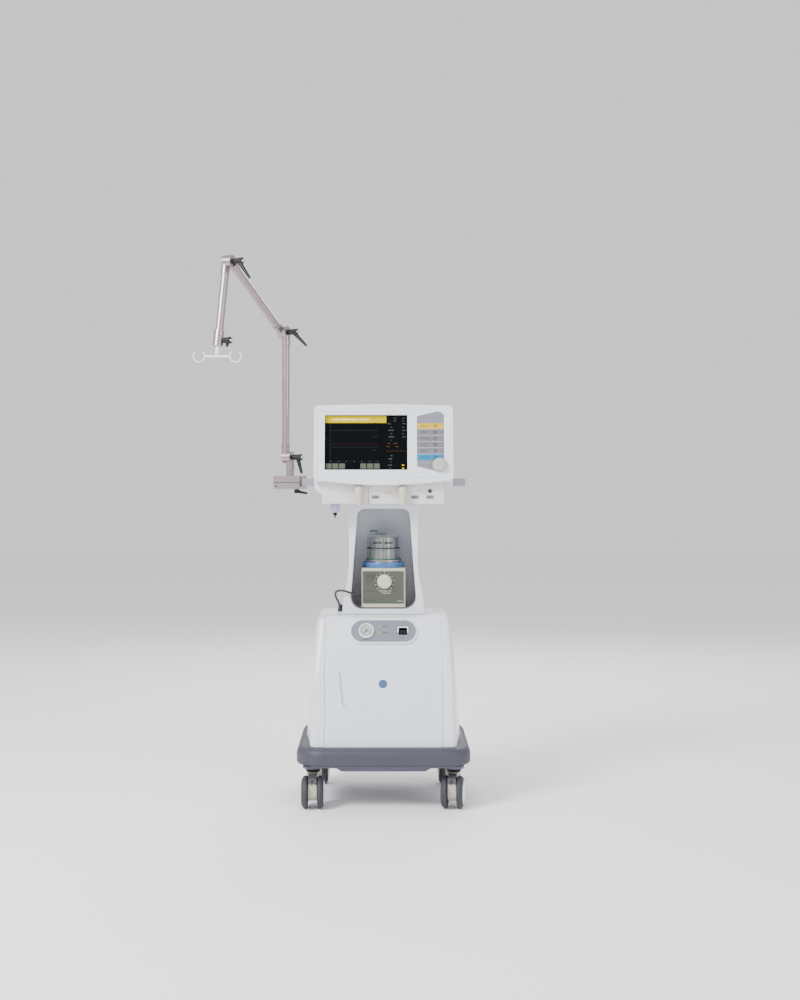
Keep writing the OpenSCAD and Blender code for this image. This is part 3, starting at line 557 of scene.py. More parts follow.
@dataclass
class Studio:
    """Plain pale studio with the camera level in front of the ventilator."""

    camera_y: float = -5.020
    camera_z: float = 1.026
    lens: float = 56.05
    shift: Pair = (0.0165, -0.025)
    floor_size: float = 30.0
    world_light: float = 1.0

    def build(self) -> None:
        """Makes the camera, the lights, the world and the floor."""
        scene = bpy.context.scene
        lens = bpy.data.cameras.new("camera")
        lens.lens = self.lens
        lens.sensor_width = 36.0
        lens.shift_x, lens.shift_y = self.shift
        camera = bpy.data.objects.new("camera", lens)
        camera.location = (0, self.camera_y, self.camera_z)
        camera.rotation_euler = (math.pi / 2, 0, 0)
        scene.collection.objects.link(camera)
        scene.camera = camera
        self.lamp("key_light", (-2.8, -3.0, 3.6), 1.6, 330)
        self.lamp("fill_light", (3.2, -3.2, 2.0), 2.6, 70)
        self.lamp("back_light", (0.5, 3.4, 3.2), 2.4, 120)
        world = bpy.data.worlds.new("studio")
        world.use_nodes = True
        back = world.node_tree.nodes["Background"]
        back.inputs["Color"].default_value = (1.0, 1.0, 1.0, 1.0)
        back.inputs["Strength"].default_value = self.world_light
        scene.world = world
        floor = bpy.data.meshes.new("floor")
        sheet = bmesh.new()
        bmesh.ops.create_grid(sheet, x_segments=1, y_segments=1, size=self.floor_size / 2)
        sheet.to_mesh(floor)
        sheet.free()
        floor.materials.append(Finish("matt_white_floor", "#FAFAFA", 0.9, unevenness=0.0).material())
        laid = bpy.data.objects.new("floor", floor)
        scene.collection.objects.link(laid)

    def lamp(self, name: str, spot: Point, size: float, watts: float) -> None:
        """Adds a square soft light that looks at the ventilator's middle."""
        light = bpy.data.lights.new(name, "AREA")
        light.size = size
        light.energy = watts
        hung = bpy.data.objects.new(name, light)
        hung.location = spot
        hung.rotation_euler = (Vector((0, 0, 0.8)) - Vector(spot)).to_track_quat("-Z", "Y").to_euler()
        bpy.context.scene.collection.objects.link(hung)


# ---- the lead ----


@dataclass
class HumidifierLead:
    """Short lead from the humidifier to its outlet on the cabinet, with a strain relief and a plug."""

    diameter: float = 7.0
    length: float = 218.0
    boot_start: Point = (-77.5, -46, 640)
    outlet: Pair = (-140, 50)

    def route(self) -> list[Point]:
        """Returns the points of the lead's middle line."""
        return [
            (-82, -64, 641), (-90, -76, 645), (-101, -88, 651), (-115, -96, 657), (-130, -97, 661),
            (-143, -90, 660), (-151, -76, 655), (-154, -59, 647), (-153, -41, 638), (-150, -23, 629),
            (-146, -7, 619), (-143, 6, 611), (-141, 17, 605), (-140, 26, 602), (-140, 33.4, 601),
        ]

    def build(self) -> None:
        """Makes the lead, its strain relief and its plug."""
        points = self.route()
        drawn = bpy.data.curves.new("humidifier_lead", "CURVE")
        drawn.dimensions = "3D"
        drawn.bevel_depth = self.diameter / 2 * MM
        drawn.bevel_resolution = 5
        drawn.use_fill_caps = True
        line = drawn.splines.new("NURBS")
        line.points.add(len(points) - 1)
        for spot, point in zip(line.points, points):
            spot.co = (*(Vector(point) * MM), 1.0)
        line.use_endpoint_u = True
        line.order_u = 3
        line.resolution_u = 6
        drawn.materials.append(PVC_SHEATH.material())
        lead = bpy.data.objects.new("humidifier_lead", drawn)
        bpy.context.scene.collection.objects.link(lead)
        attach(lead, CART)
        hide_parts("humidifier_cord")
        ends = self.ends(Vector(points[0]))

    def ends(self, first: Vector) -> bpy.types.Object:
        """Makes the ribbed strain relief and the plug."""
        start = Vector(self.boot_start)
        way = first - start
        turn = Matrix.Translation(start) @ way.to_track_quat("Z", "Y").to_matrix().to_4x4()
        reach = way.length
        ribs = [(0.0, 0.0), (6.5, 0.0)]
        for rib in range(4):
            near, far = reach * (0.1 + 0.21 * rib), reach * (0.2 + 0.21 * rib)
            taper = 6.4 - 0.5 * rib
            ribs += [(taper, near), (taper - 1.0, near + 0.3), (taper - 1.0, far), (taper - 0.3, far + 0.3)]
        ribs += [(4.3, reach - 0.3), (0.0, reach - 0.3)]
        form = Form().turned(ribs, turn, steps=28)
        gland = Matrix.Translation((-79, -43, 640)) @ Matrix.Rotation(math.pi / 2, 4, "Y")
        form.turned([(0, 0), (5.4, 0), (6.5, 1.2), (6.5, 8.6), (0, 8.6)], gland, 28)
        foot = Matrix.Translation((*self.outlet, node_box("cord_ends")[0].z))
        upright = foot @ Matrix(((0, 0, 1, 0), (1, 0, 0, 0), (0, 1, 0, 0), (0, 0, 0, 1)))
        form.plate([(-16, 4.6), (18, 4.6), (18, 10), (14, 14), (-6, 22), (-16, 20)], -7, 7, upright)
        form.plate(rounded_rectangle(18, 34, 3), 0, 5, moved(foot, 0, 4)).eased(1.2)
        return form.piece("lead_plug_and_strain_relief", PVC_SHEATH, "black_plastic", CART, ["cord_ends"])


# ---- base ----


@dataclass
class Base:
    """Wheeled base: powder-coated plate, soft bumper ring and swivel races."""

    hole: Pair = (400.0, 420.0)
    corner: float = 86.0
    shoulder: float = 22.0

    def build(self) -> None:
        """Makes the plate, the bumper and the races."""
        softened("base_frame", "base_plate", FRAME_COAT, "frame_steel", 1.0, segments=2)
        self.bumper()
        races = Form()
        for tag in ("fl", "fr", "rl", "rr"):
            place = joint_place(f"{tag}_swivel")
            races.turned([(8, 0.8), (21.6, 0.8), (22.4, 1.6), (22.4, 6.0), (21.2, 7.0), (21.2, 8.2),
                          (23.4, 8.6), (23.4, 12.8), (8, 12.8), (8, 0.8)], place)
        races.piece("swivel_races", RACE_STEEL, "frame_steel")

    def loop(self, inset: float, height: float) -> list[Point]:
        """Returns one level outline of the bumper, drawn in by inset."""
        low, high = node_box("base_bumper")
        wide, deep = high.x - low.x - 2 * inset, high.y - low.y - 2 * inset
        return [(x, y, height) for x, y in rounded_rectangle(wide, deep, self.corner - inset * 0.8, 12)]

    def bumper(self) -> None:
        """Makes the bumper as a soft moulding with a full round shoulder and a drip groove."""
        low, high = node_box("base_bumper")
        inner = [(x, y) for x, y in rounded_rectangle(*self.hole, 40, 12)]
        loops = [[(x, y, low.z) for x, y in inner], self.loop(6.0, low.z), self.loop(3.0, low.z + 1.2)]
        for step in range(5):
            angle = math.pi / 2 * step / 4
            loops.append(self.loop(3.0 * (1 - math.sin(angle)), low.z + 10 - 8 * math.cos(angle)))
        loops.append(self.loop(0.0, high.z - self.shoulder - 8))
        for step in range(9):
            angle = math.pi / 2 * step / 8
            inset = self.shoulder * (1 - math.cos(angle))
            loops.append(self.loop(inset, high.z - self.shoulder * (1 - math.sin(angle))))
        loops.append([(x, y, high.z) for x, y in inner])
        Form().lofted(loops, ring=True).piece(
            "bumper_ring", BUMPER_PU, "bumper_blue_grey", stands_for=["base_bumper"]
        )


@dataclass
class Caster:
    """Twin-wheel swivel caster, with a brake pedal if it is a front one."""

    tag: str
    braked: bool
    wheel_r: float = 50.0
    tread_from: float = 15.0
    tread_to: float = 33.0
    cover_to: float = 39.0

    def build(self) -> None:
        """Makes the fork, the treads, the covers and the pedal."""
        tag = self.tag
        softened(f"caster_{tag}_fork", f"fork_{tag}", FORK_NYLON, "panel_warm_white", 2.0, f"caster_{tag}")
        hub = joint_place(f"{tag}_roll")
        treads, covers = Form(), Form()
        for side in (1, -1):
            place = hub @ Matrix.Diagonal((1, 1, side, 1))
            treads.turned(self.tread_profile(), place, 64)
            covers.turned(self.cover_profile(), place, 64)
        wheels = f"wheels_{tag}"
        treads.piece(f"treads_{tag}", TREAD_RUBBER, "tread_grey", wheels, [f"caster_{tag}_wheels"])
        covers.piece(f"covers_{tag}", COVER_PP, "panel_warm_white", wheels)
        if self.braked:
            pedal = f"pedal_{tag}"
            softened(f"caster_{tag}_pedal", pedal, PEDAL_NYLON, "bumper_blue_grey", 1.6, pedal)

    def tread_profile(self) -> list[Pair]:
        """Returns the section of one tread: flat inner face, crowned tread and outer lip."""
        r, near, far = self.wheel_r, self.tread_from, self.tread_to
        return [
            (7, near), (r - 6, near), (r - 2.4, near + 0.8), (r - 0.6, near + 2.6), (r, near + 5),
            (r, far - 9), (r - 1, far - 6), (r - 3.5, far - 3), (r - 7, far - 0.5), (r - 12, far + 1.6),
            (r - 12.6, far - 2), (7, far - 2), (7, near),
        ]

    def cover_profile(self) -> list[Pair]:
        """Returns the section of one domed cover with a stepped hub."""
        r, far, out = self.wheel_r, self.tread_to, self.cover_to
        return [
            (0, out), (9, out - 0.1), (10, out - 0.8), (11, out - 0.8), (18, out - 1.0), (28, out - 2.2),
            (34, out - 3.6), (r - 12.2, far + 1.2), (r - 12.4, far - 1.6), (0, far - 1.6),
        ]


# ---- cabinet ----


@dataclass
class Cabinet:
    """White cabinet of a front cover, two side covers and a rear cover, with what it holds."""

    badge_spot: Point = (-2.0, -237.0, 384.0)
    badge_r: float = 13.0

    def build(self) -> None:
        """Makes the covers, the badge and the machines inside."""
        for node, name, ease in (
            ("cabinet_front", "front_cover", 4.0), ("cabinet_sides", "side_covers", 1.2),
            ("cabinet_rear", "rear_cover", 1.0),
        ):
            softened(node, name, WHITE_ABS, "shell_white", ease, segments=4)
        self.badge()
        dress("air_compressor", SHEET_STEEL)
        dress("rear_inlets", ZINC)
        dress("column_post", SHEET_STEEL)

    def badge(self) -> None:
        """Makes the plain round badge in the middle of the front cover's recess."""
        place = Matrix.Translation(self.badge_spot) @ FACING
        r = self.badge_r
        Form().turned([(0, 1.6), (r - 3, 1.6), (r - 1, 1.2), (r, 0), (r, -3), (0, -3)], place, 48).piece(
            "round_badge", BADGE_ABS, "collar_blue"
        )


@dataclass
class Controls:
    """Oval plate on the cabinet's slope: supply gauge, two lamps and the power rocker."""

    width: float = 200.0
    height: float = 70.0
    thick: float = 4.0
    gauge_r: float = 20.0
    gauge_aside: float = 53.0
    surround_size: Pair = (34.0, 31.0)
    surround_wall: float = 7.0
    surround_tall: float = 1.6

    def build(self) -> None:
        """Makes the plate, its rim, the gauge, the lamps and the rocker."""
        gauge = front_place("gauge_needle_turn")
        middle = moved(gauge, self.gauge_aside, 0)
        softened("control_plate", "oval_plate", PLATE_FILM, "plate_grey", 0.8)
        self.rim(middle)
        self.gauge(gauge)
        self.lamps(middle)
        self.words(middle)
        softened("power_rocker", "rocker", BLACK_PC, "black_plastic", 1.0, "power_rocker")
        self.surround(front_place("power_switch"))

    def surround(self, place: Matrix) -> None:
        """Makes the white frame round the rocker."""
        wide, high = self.surround_size
        wall = self.surround_wall
        outer, inner = rounded_rectangle(wide, high, 3), rounded_rectangle(wide - wall, high - wall, 1.2)
        foot, top = self.thick, self.thick + self.surround_tall
        loops = [
            [(x, y, level) for x, y in outline]
            for outline, level in ((outer, foot), (outer, top), (inner, top), (inner, foot))
        ]
        Form().lofted(loops, ring=True, place=place).eased(0.5).piece(
            "rocker_surround", WHITE_ABS, "shell_white"
        )

    def rim(self, place: Matrix) -> None:
        """Makes the raised white rim round the plate."""
        loops = []
        for out, up in ((0.2, -0.5), (5.5, -0.5), (6.0, 1.0), (5.0, 3.0), (3.0, 4.2), (0.8, 4.2), (0.2, 3.2)):
            wide, high = self.width + 2 * out, self.height + 2 * out
            outline = rounded_rectangle(wide, high, self.height / 2 + out - 0.1, 16)
            loops.append([(x, y, up) for x, y in outline])
        Form().lofted(loops, ring=True, place=place).piece("plate_rim", WHITE_ABS, "shell_white")

    def gauge(self, place: Matrix) -> None:
        """Makes the gauge's case, dial sheet, marks, needle and window."""
        r = self.gauge_r
        Form().turned(
            [(17, -18), (17, 4.2), (r + 3.4, 4.2), (r + 3.8, 5.4), (r + 3.6, 9.2), (r + 2.4, 10.6),
             (r + 1, 10.8), (r, 9.8), (r, 6.1), (1.25, 6.1), (1.25, 3), (0, 3), (0, -18),
             (17, -18)], place, 64
        ).piece("gauge_bezel", DIAL_ENAMEL, "gauge_white", stands_for=["gauge_case"])
        marks = Form()
        for step in range(28):
            long = 4.2 if step % 3 == 0 else 2.4
            marks.block((-0.3, r - 2 - long, 6.1), (0.3, r - 2, 6.25), spun(place, -135 + 10 * step))
        for value, (x, y) in zip("024", ((-9.5, -8), (-2, 8.5), (6.5, -8))):
            marks.letters(value, 3.2, moved(place, x, y, 6.2))
        marks.piece("gauge_marks", INK, "needle_black")
        softened("gauge_needle", "needle", INK, "needle_black", 0.2, "gauge_needle", 2)
        Form().turned([(0, 9.3), (r - 0.1, 9.3), (r - 0.1, 9.9), (12, 10.4), (0, 10.6)], place, 48).piece(
            "gauge_window", CHAMBER_PC, "chamber_clear"
        )

    def words(self, place: Matrix) -> None:
        """Prints the names of the gauge, the lamps and the switch on the plate."""
        spots = (("SUPPLY", -53, -31.5), ("RUN", 6, 13), ("FAULT", 7, -8), ("I", 60, 20), ("O", 60, -26))
        form = Form()
        for text, x, up in spots:
            form.letters(text, 5.4, moved(place, x, up, self.thick + 0.08), centred=True)
        form.piece("plate_print", INK, "needle_black")

    def lamps(self, place: Matrix) -> None:
        """Makes the two indicator lamps beside the gauge."""
        for name, up, finish in (("lamp_upper", 15, LAMP_GREEN), ("lamp_lower", -6, LAMP_AMBER)):
            spot = moved(place, -10, up, self.thick)
            Form().turned([(0, 1.7), (1.2, 1.5), (2.1, 0.9), (2.5, 0), (2.5, -1), (0, -1)], spot, 24).piece(
                name, finish, "gauge_white"
            )


# ---- column and humidifier ----


@dataclass
class Column:
    """Flared column cover with the humidifier's niche."""

    rim: float = 5.0

    def build(self) -> None:
        """Makes the cover with a soft rim round its niche."""
        softened("column_shell", "column_cover", SATIN_ABS, "shell_white", self.rim, CART, 4, 40)


@dataclass
class Humidifier:
    """Heated humidifier: cream case with a dial, blue collar and a clear water chamber."""

    dial_r: float = 23.0
    dome_r: float = 53.8
    dome_foot: float = 4.0
    dome_lid: float = 82.0
    wall: float = 1.6
    side_port_x: float = -32.0
    sleeve_r: float = 46.0
    flutes: int = 22

    def build(self) -> None:
        """Makes the case, its front, the collar and the chamber."""
        softened("humidifier_case", "heater_case", CASE_COAT, "case_cream", 1.6)
        self.front()
        self.dial()
        self.collar()
        self.chamber()

    def front(self) -> None:
        """Makes the printed front film with its lettering and the tick marks round the dial."""
        softened("humidifier_plate", "front_film", FACE_FILM, "face_grey", 0.4, segments=2)
        low = node_box("humidifier_plate")[0]
        corner = Matrix.Translation((low.x, low.y - 0.05, low.z)) @ FACING
        light, dark = Form(), Form()
        dial = front_place("dial_turn")
        for step in range(11):
            long = 31 if step % 5 else 33
            light.block((-0.7, 28, 4.3), (0.7, long, 4.5), spun(dial, -135 + 27 * step))
        for form, name, finish, slot, words in (
            (light, "front_white_marks", WHITE_INK, "gauge_white",
             (("TEMPERATURE", 4.2, 52, 38), ("CONTROL", 4.2, 60, 31), ("HEATER", 3.4, 110, 6))),
            (dark, "front_dark_marks", INK, "needle_black",
             (("HEATED", 6.0, 9, 88), ("WATER", 6.0, 9, 80.5), ("CHAMBER", 5.0, 9, 73),
              ("115 VA", 4.2, 9, 65.5), ("CAUTION", 4.2, 9, 38), ("HOT PLATE", 4.2, 9, 7))),
        ):
            for text, height, x, up in words:
                form.letters(text, height, moved(corner, x, up))
            form.piece(name, finish, slot)

    def dial(self) -> None:
        """Makes the dial, with a stepped skirt and two finger dimples."""
        place = moved(front_place("dial_turn"), 0, 0, -1.8)
        r = self.dial_r
        form = Form().turned(
            [(0, -12), (4, -12), (4, 0), (r, 0), (r, 2.6), (r - 0.8, 3.6), (r - 2.4, 4.2), (r - 3.2, 11.5),
             (r - 4.4, 13.2), (r - 6.5, 13.9), (0, 13.9)], place, 72
        )
        for x, y in ((4.5, 7.5), (-5.5, -5)):
            form.turned([(3.0, 13.5), (3.6, 14.8), (4.6, 15.2), (5.6, 14.8), (6.2, 13.5), (3.0, 13.5)],
                        moved(place, x, y), 24)
        form.piece("temperature_dial", DIAL_UREA, "dial_ivory", "humidifier_dial", ["humidifier_dial"])

    def collar(self) -> None:
        """Makes the blue collar with its release notches."""
        low, high = node_box("heater_collar")
        middle = Matrix.Translation(((low.x + high.x) / 2, (low.y + high.y) / 2, low.z))
        r, tall = (high.x - low.x) / 2, high.z - low.z
        form = Form().turned(
            [(52.2, 0), (r - 1.5, 0), (r, 1.2), (r, 6), (r - 0.8, 6.6), (r - 0.8, 8), (r, 8.6), (r, tall - 3),
             (r - 1, tall - 1), (r - 3, tall), (57, tall), (52.2, tall - 2), (52.2, 0)], middle, 96
        )
        for step in range(24):
            form.block((-0.8, -r - 0.1, 2.4), (0.8, -r + 2, 5.6), spun(middle, 15 * step))
        form.piece("heater_ring", COLLAR_ACETAL, "collar_blue", stands_for=["heater_collar"])

    def chamber(self) -> None:
        """Makes the water chamber: the clear dome with its ports, the steel core, the seals and the band."""
        low, high = node_box("chamber_dome")
        middle = Matrix.Translation((0, (low.y + high.y) / 2, 0))
        foot, lid = low.z + self.dome_foot, low.z + self.dome_lid
        side_port = moved(middle, self.side_port_x, 0)
        self.dome(middle, side_port, foot, lid, high.z)
        self.sleeve(middle, foot, lid)
        seals = Form()
        seals.turned([(48, foot - 3.7), (55.4, foot - 3.7), (56, foot - 2.9), (55.4, foot - 0.4),
                      (48, foot - 0.4), (48, foot - 3.7)], middle, 96)
        seals.turned([(12.1, lid + 8), (14, lid + 8), (14.6, lid + 9), (14.4, lid + 11), (12.1, lid + 11.4),
                      (12.1, lid + 8)], side_port, 48)
        seals.piece("green_seals", SILICONE, "seal_green", stands_for=["chamber_rings"])
        self.band(middle, lid)

    def dome(self, middle: Matrix, side_port: Matrix, foot: float, lid: float, top: float) -> None:
        """Makes the clear dome between its foot and its lid, with the middle port and the side port."""
        r, wall = self.dome_r, self.wall
        dome = Form().turned(
            [(r, foot), (r, foot + 5), (r - 0.8, foot + 6), (r - 0.8, lid - 8), (r, lid - 6), (r, lid - 2),
             (r - 1.6, lid - 0.4), (r - 4, lid), (11.5, lid), (10.5, lid + 1), (10.5, top - 1.5),
             (11, top - 1), (11, top), (8.8, top), (8.8, lid - wall), (r - 5, lid - wall),
             (r - wall - 1, lid - 4), (r - wall - 1, foot), (r, foot)], middle, 96
        )
        dome.turned([(12, lid + 0.2), (12, lid + 11), (11, lid + 12), (9.6, lid + 12), (9.6, lid + 0.2),
                     (12, lid + 0.2)], side_port, 48)
        dome.piece("water_chamber", CHAMBER_PC, "chamber_clear", stands_for=["chamber_dome"])

    def sleeve(self, middle: Matrix, foot: float, lid: float) -> None:
        """Makes the heat plate with its steel sleeve and, unevenly spaced, darker strips of painted shade where
        flutes are pressed into it.
        """
        core_low = node_box("chamber_core")[0].z
        r = self.sleeve_r
        Form().turned(
            [(0, core_low), (51.4, core_low), (51.4, foot - 7.4), (58, foot - 7.2), (58, foot - 4.2),
             (55, foot - 3.9), (r, foot - 3.9), (r, lid - 10), (r - 1.4, lid - 10), (r - 1.4, foot - 3.6),
             (0, foot - 3.6)], middle, 96
        ).piece("evaporator_sleeve", STAINLESS, "machine_steel", stands_for=["chamber_core"])
        # Painted shade: the flutes are darker steel strips on the sleeve, not grooves.
        flutes = Form()
        for step in range(self.flutes):
            place = spun(middle, 360 * step / self.flutes + 6 * math.sin(5 * step))
            half = 1.6 + 1.4 * math.sin(3 * step) ** 2
            flutes.block((-half, -r - 0.25, foot - 2), (half, -r + 0.6, lid - 11), place)
        flutes.piece("sleeve_flute_shade", FLUTE_SHADE_STEEL, "machine_steel")

    def band(self, middle: Matrix, lid: float) -> None:
        """Makes the black band round the dome and the dashes of its level scale."""
        r = self.dome_r
        band = Form()
        band.turned([(r - 0.7, lid - 46.6), (r + 0.9, lid - 46), (r + 1.4, lid - 44.6), (r + 0.9, lid - 43.2),
                     (r - 0.7, lid - 42.6), (r - 0.7, lid - 46.6)], middle, 96)
        for step in range(14):
            if step not in (6, 7):
                place = spun(middle, -34 + 5 * step)
                band.block((-1.6, -r - 0.2, lid - 30), (1.6, -r + 1.2, lid - 25), place)
        band.piece("level_band", INK, "black_plastic")


# ---- housing under the display ----


@dataclass
class PortHousing:
    """Housing halves under the display, with two breathing elbows, labels and the water trap."""

    elbow_r: float = 13.4
    elbow_tall: float = 47.0
    bend: float = 9.0
    neck_r: float = 10.0
    cone_r: float = 11.0
    label_up: float = 957.0
    label_wide: float = 23.0

    def build(self) -> None:
        """Makes the housing, the elbows, the labels, the gas inlet and the trap."""
        for node, name in (("port_block", "housing_right"), ("exhale_module", "housing_left")):
            softened(node, name, WARM_PAINT, "panel_warm_white", 3.0)
        self.elbows()
        self.labels()
        self.trap()

    def elbows(self) -> None:
        """Makes both breathing elbows, each from the housing's front round and down to a 22 mm cone."""
        front = node_box("port_block")[0].y
        bend = self.bend
        form = Form()
        for mount in ("left_breathing_cone", "right_breathing_cone"):
            tip = Vector(next(m for m in frame["record"]["mounts"] if m["name"] == mount)["pos_m"]) / MM
            x, y, foot = tip.x, tip.y, tip.z - 6
            top = foot + self.elbow_tall
            loops = [
                self.ring((x, front + out, top), radius, 0.0)
                for out, radius in ((4, self.neck_r), (-0.3, self.neck_r), (-0.6, self.elbow_r))
            ]
            for step in range(1, 9):
                angle = math.pi / 2 * step / 8
                spot = (x, y + bend - bend * math.sin(angle), top - bend + bend * math.cos(angle))
                loops.append(self.ring(spot, self.elbow_r + 0.6 * math.sin(2 * angle), angle))
            for height, radius in (
                (foot + 30, 12.9), (foot + 18, 11.3), (foot + 17, self.cone_r), (foot + 1.2, self.cone_r),
                (foot, self.cone_r - 0.8), (foot, 7.6), (foot + 20, 7.6),
            ):
                loops.append(self.ring((x, y, height), radius, math.pi / 2))
            form.lofted(loops)
        form.piece("breathing_elbows", PORT_ACETAL, "port_cream", stands_for=["breathing_ports"])

    def ring(self, middle: Point, radius: float, turn: float) -> list[Point]:
        """Returns a circle about a line that points to the front, turned down by an angle."""
        place = Matrix.Translation(middle) @ Matrix.Rotation(turn, 4, "X") @ FACING
        return [tuple(place @ Vector((x, y, 0))) for x, y in circle(radius, 40)]

    def labels(self) -> None:
        """Makes the labels and the dark gas inlet on the housing's front."""
        front = node_box("port_block")[0].y
        face = Matrix.Translation((0, front, 0)) @ FACING
        films, words, red = Form(), Form(), Form()
        up, wide = self.label_up, self.label_wide
        for x, text in ((-25, "EXHALE"), (98, "INHALE"), (145, "NEB")):
            films.plate(rounded_rectangle(wide, 11, 1.5), -0.2, 0.5, moved(face, x, up))
            words.letters(text, 3.4, moved(face, x, up - 1.7, 0.55), centred=True)
        films.piece("port_labels", LABEL_FILM, "pad_grey")
        words.piece("port_label_print", INK, "needle_black")
        spot = moved(face, 13, 971)
        for left, low, right, high in (
            (-12, 3.4, 12, 4), (-12, -4, 12, -3.4), (-12, -4, -11.4, 4), (11.4, -4, 12, 4)
        ):
            red.block((left, low, -0.1), (right, high, 0.3), spot)
        red.letters("SERVICE", 3.2, moved(spot, 0, -1.6, 0.1), centred=True)
        red.piece("service_label", RED_INK, "key_yellow")
        Form().turned(
            [(2, -3), (2, 2.2), (3.4, 2.6), (5.4, 2.2), (6.2, 0.6), (6.2, -0.4), (4, -3), (2, -3)],
            moved(face, 145, 976), 40,
        ).piece("gas_inlet", RACE_STEEL, "machine_steel")

    def trap(self) -> None:
        """Makes the tinted trap cup and its drain nozzle."""
        low, high = node_box("trap_cup")
        middle = Matrix.Translation(((low.x + high.x) / 2, (low.y + high.y) / 2, low.z))
        tall = high.z - low.z
        Form().turned(
            [(0, 17), (12, 17), (13.6, 17.8), (14.2, 19), (15.2, tall - 4), (16.2, tall - 3.4),
             (16.2, tall - 0.2), (12.5, tall - 0.2), (12.2, 22), (0, 20)], middle, 48
        ).piece("trap_bowl", TRAP_PSU, "trap_tinted", stands_for=["trap_cup"])
        Form().turned(
            [(0, 0), (1.6, 0), (2.1, 1), (2.4, 8), (5, 8.6), (6.4, 10), (5.4, 12), (6.6, 13.4), (6.6, 16.8),
             (0, 16.8)], middle, 32
        ).piece("drain_nozzle", RACE_STEEL, "black_plastic")


# ---- display head ----


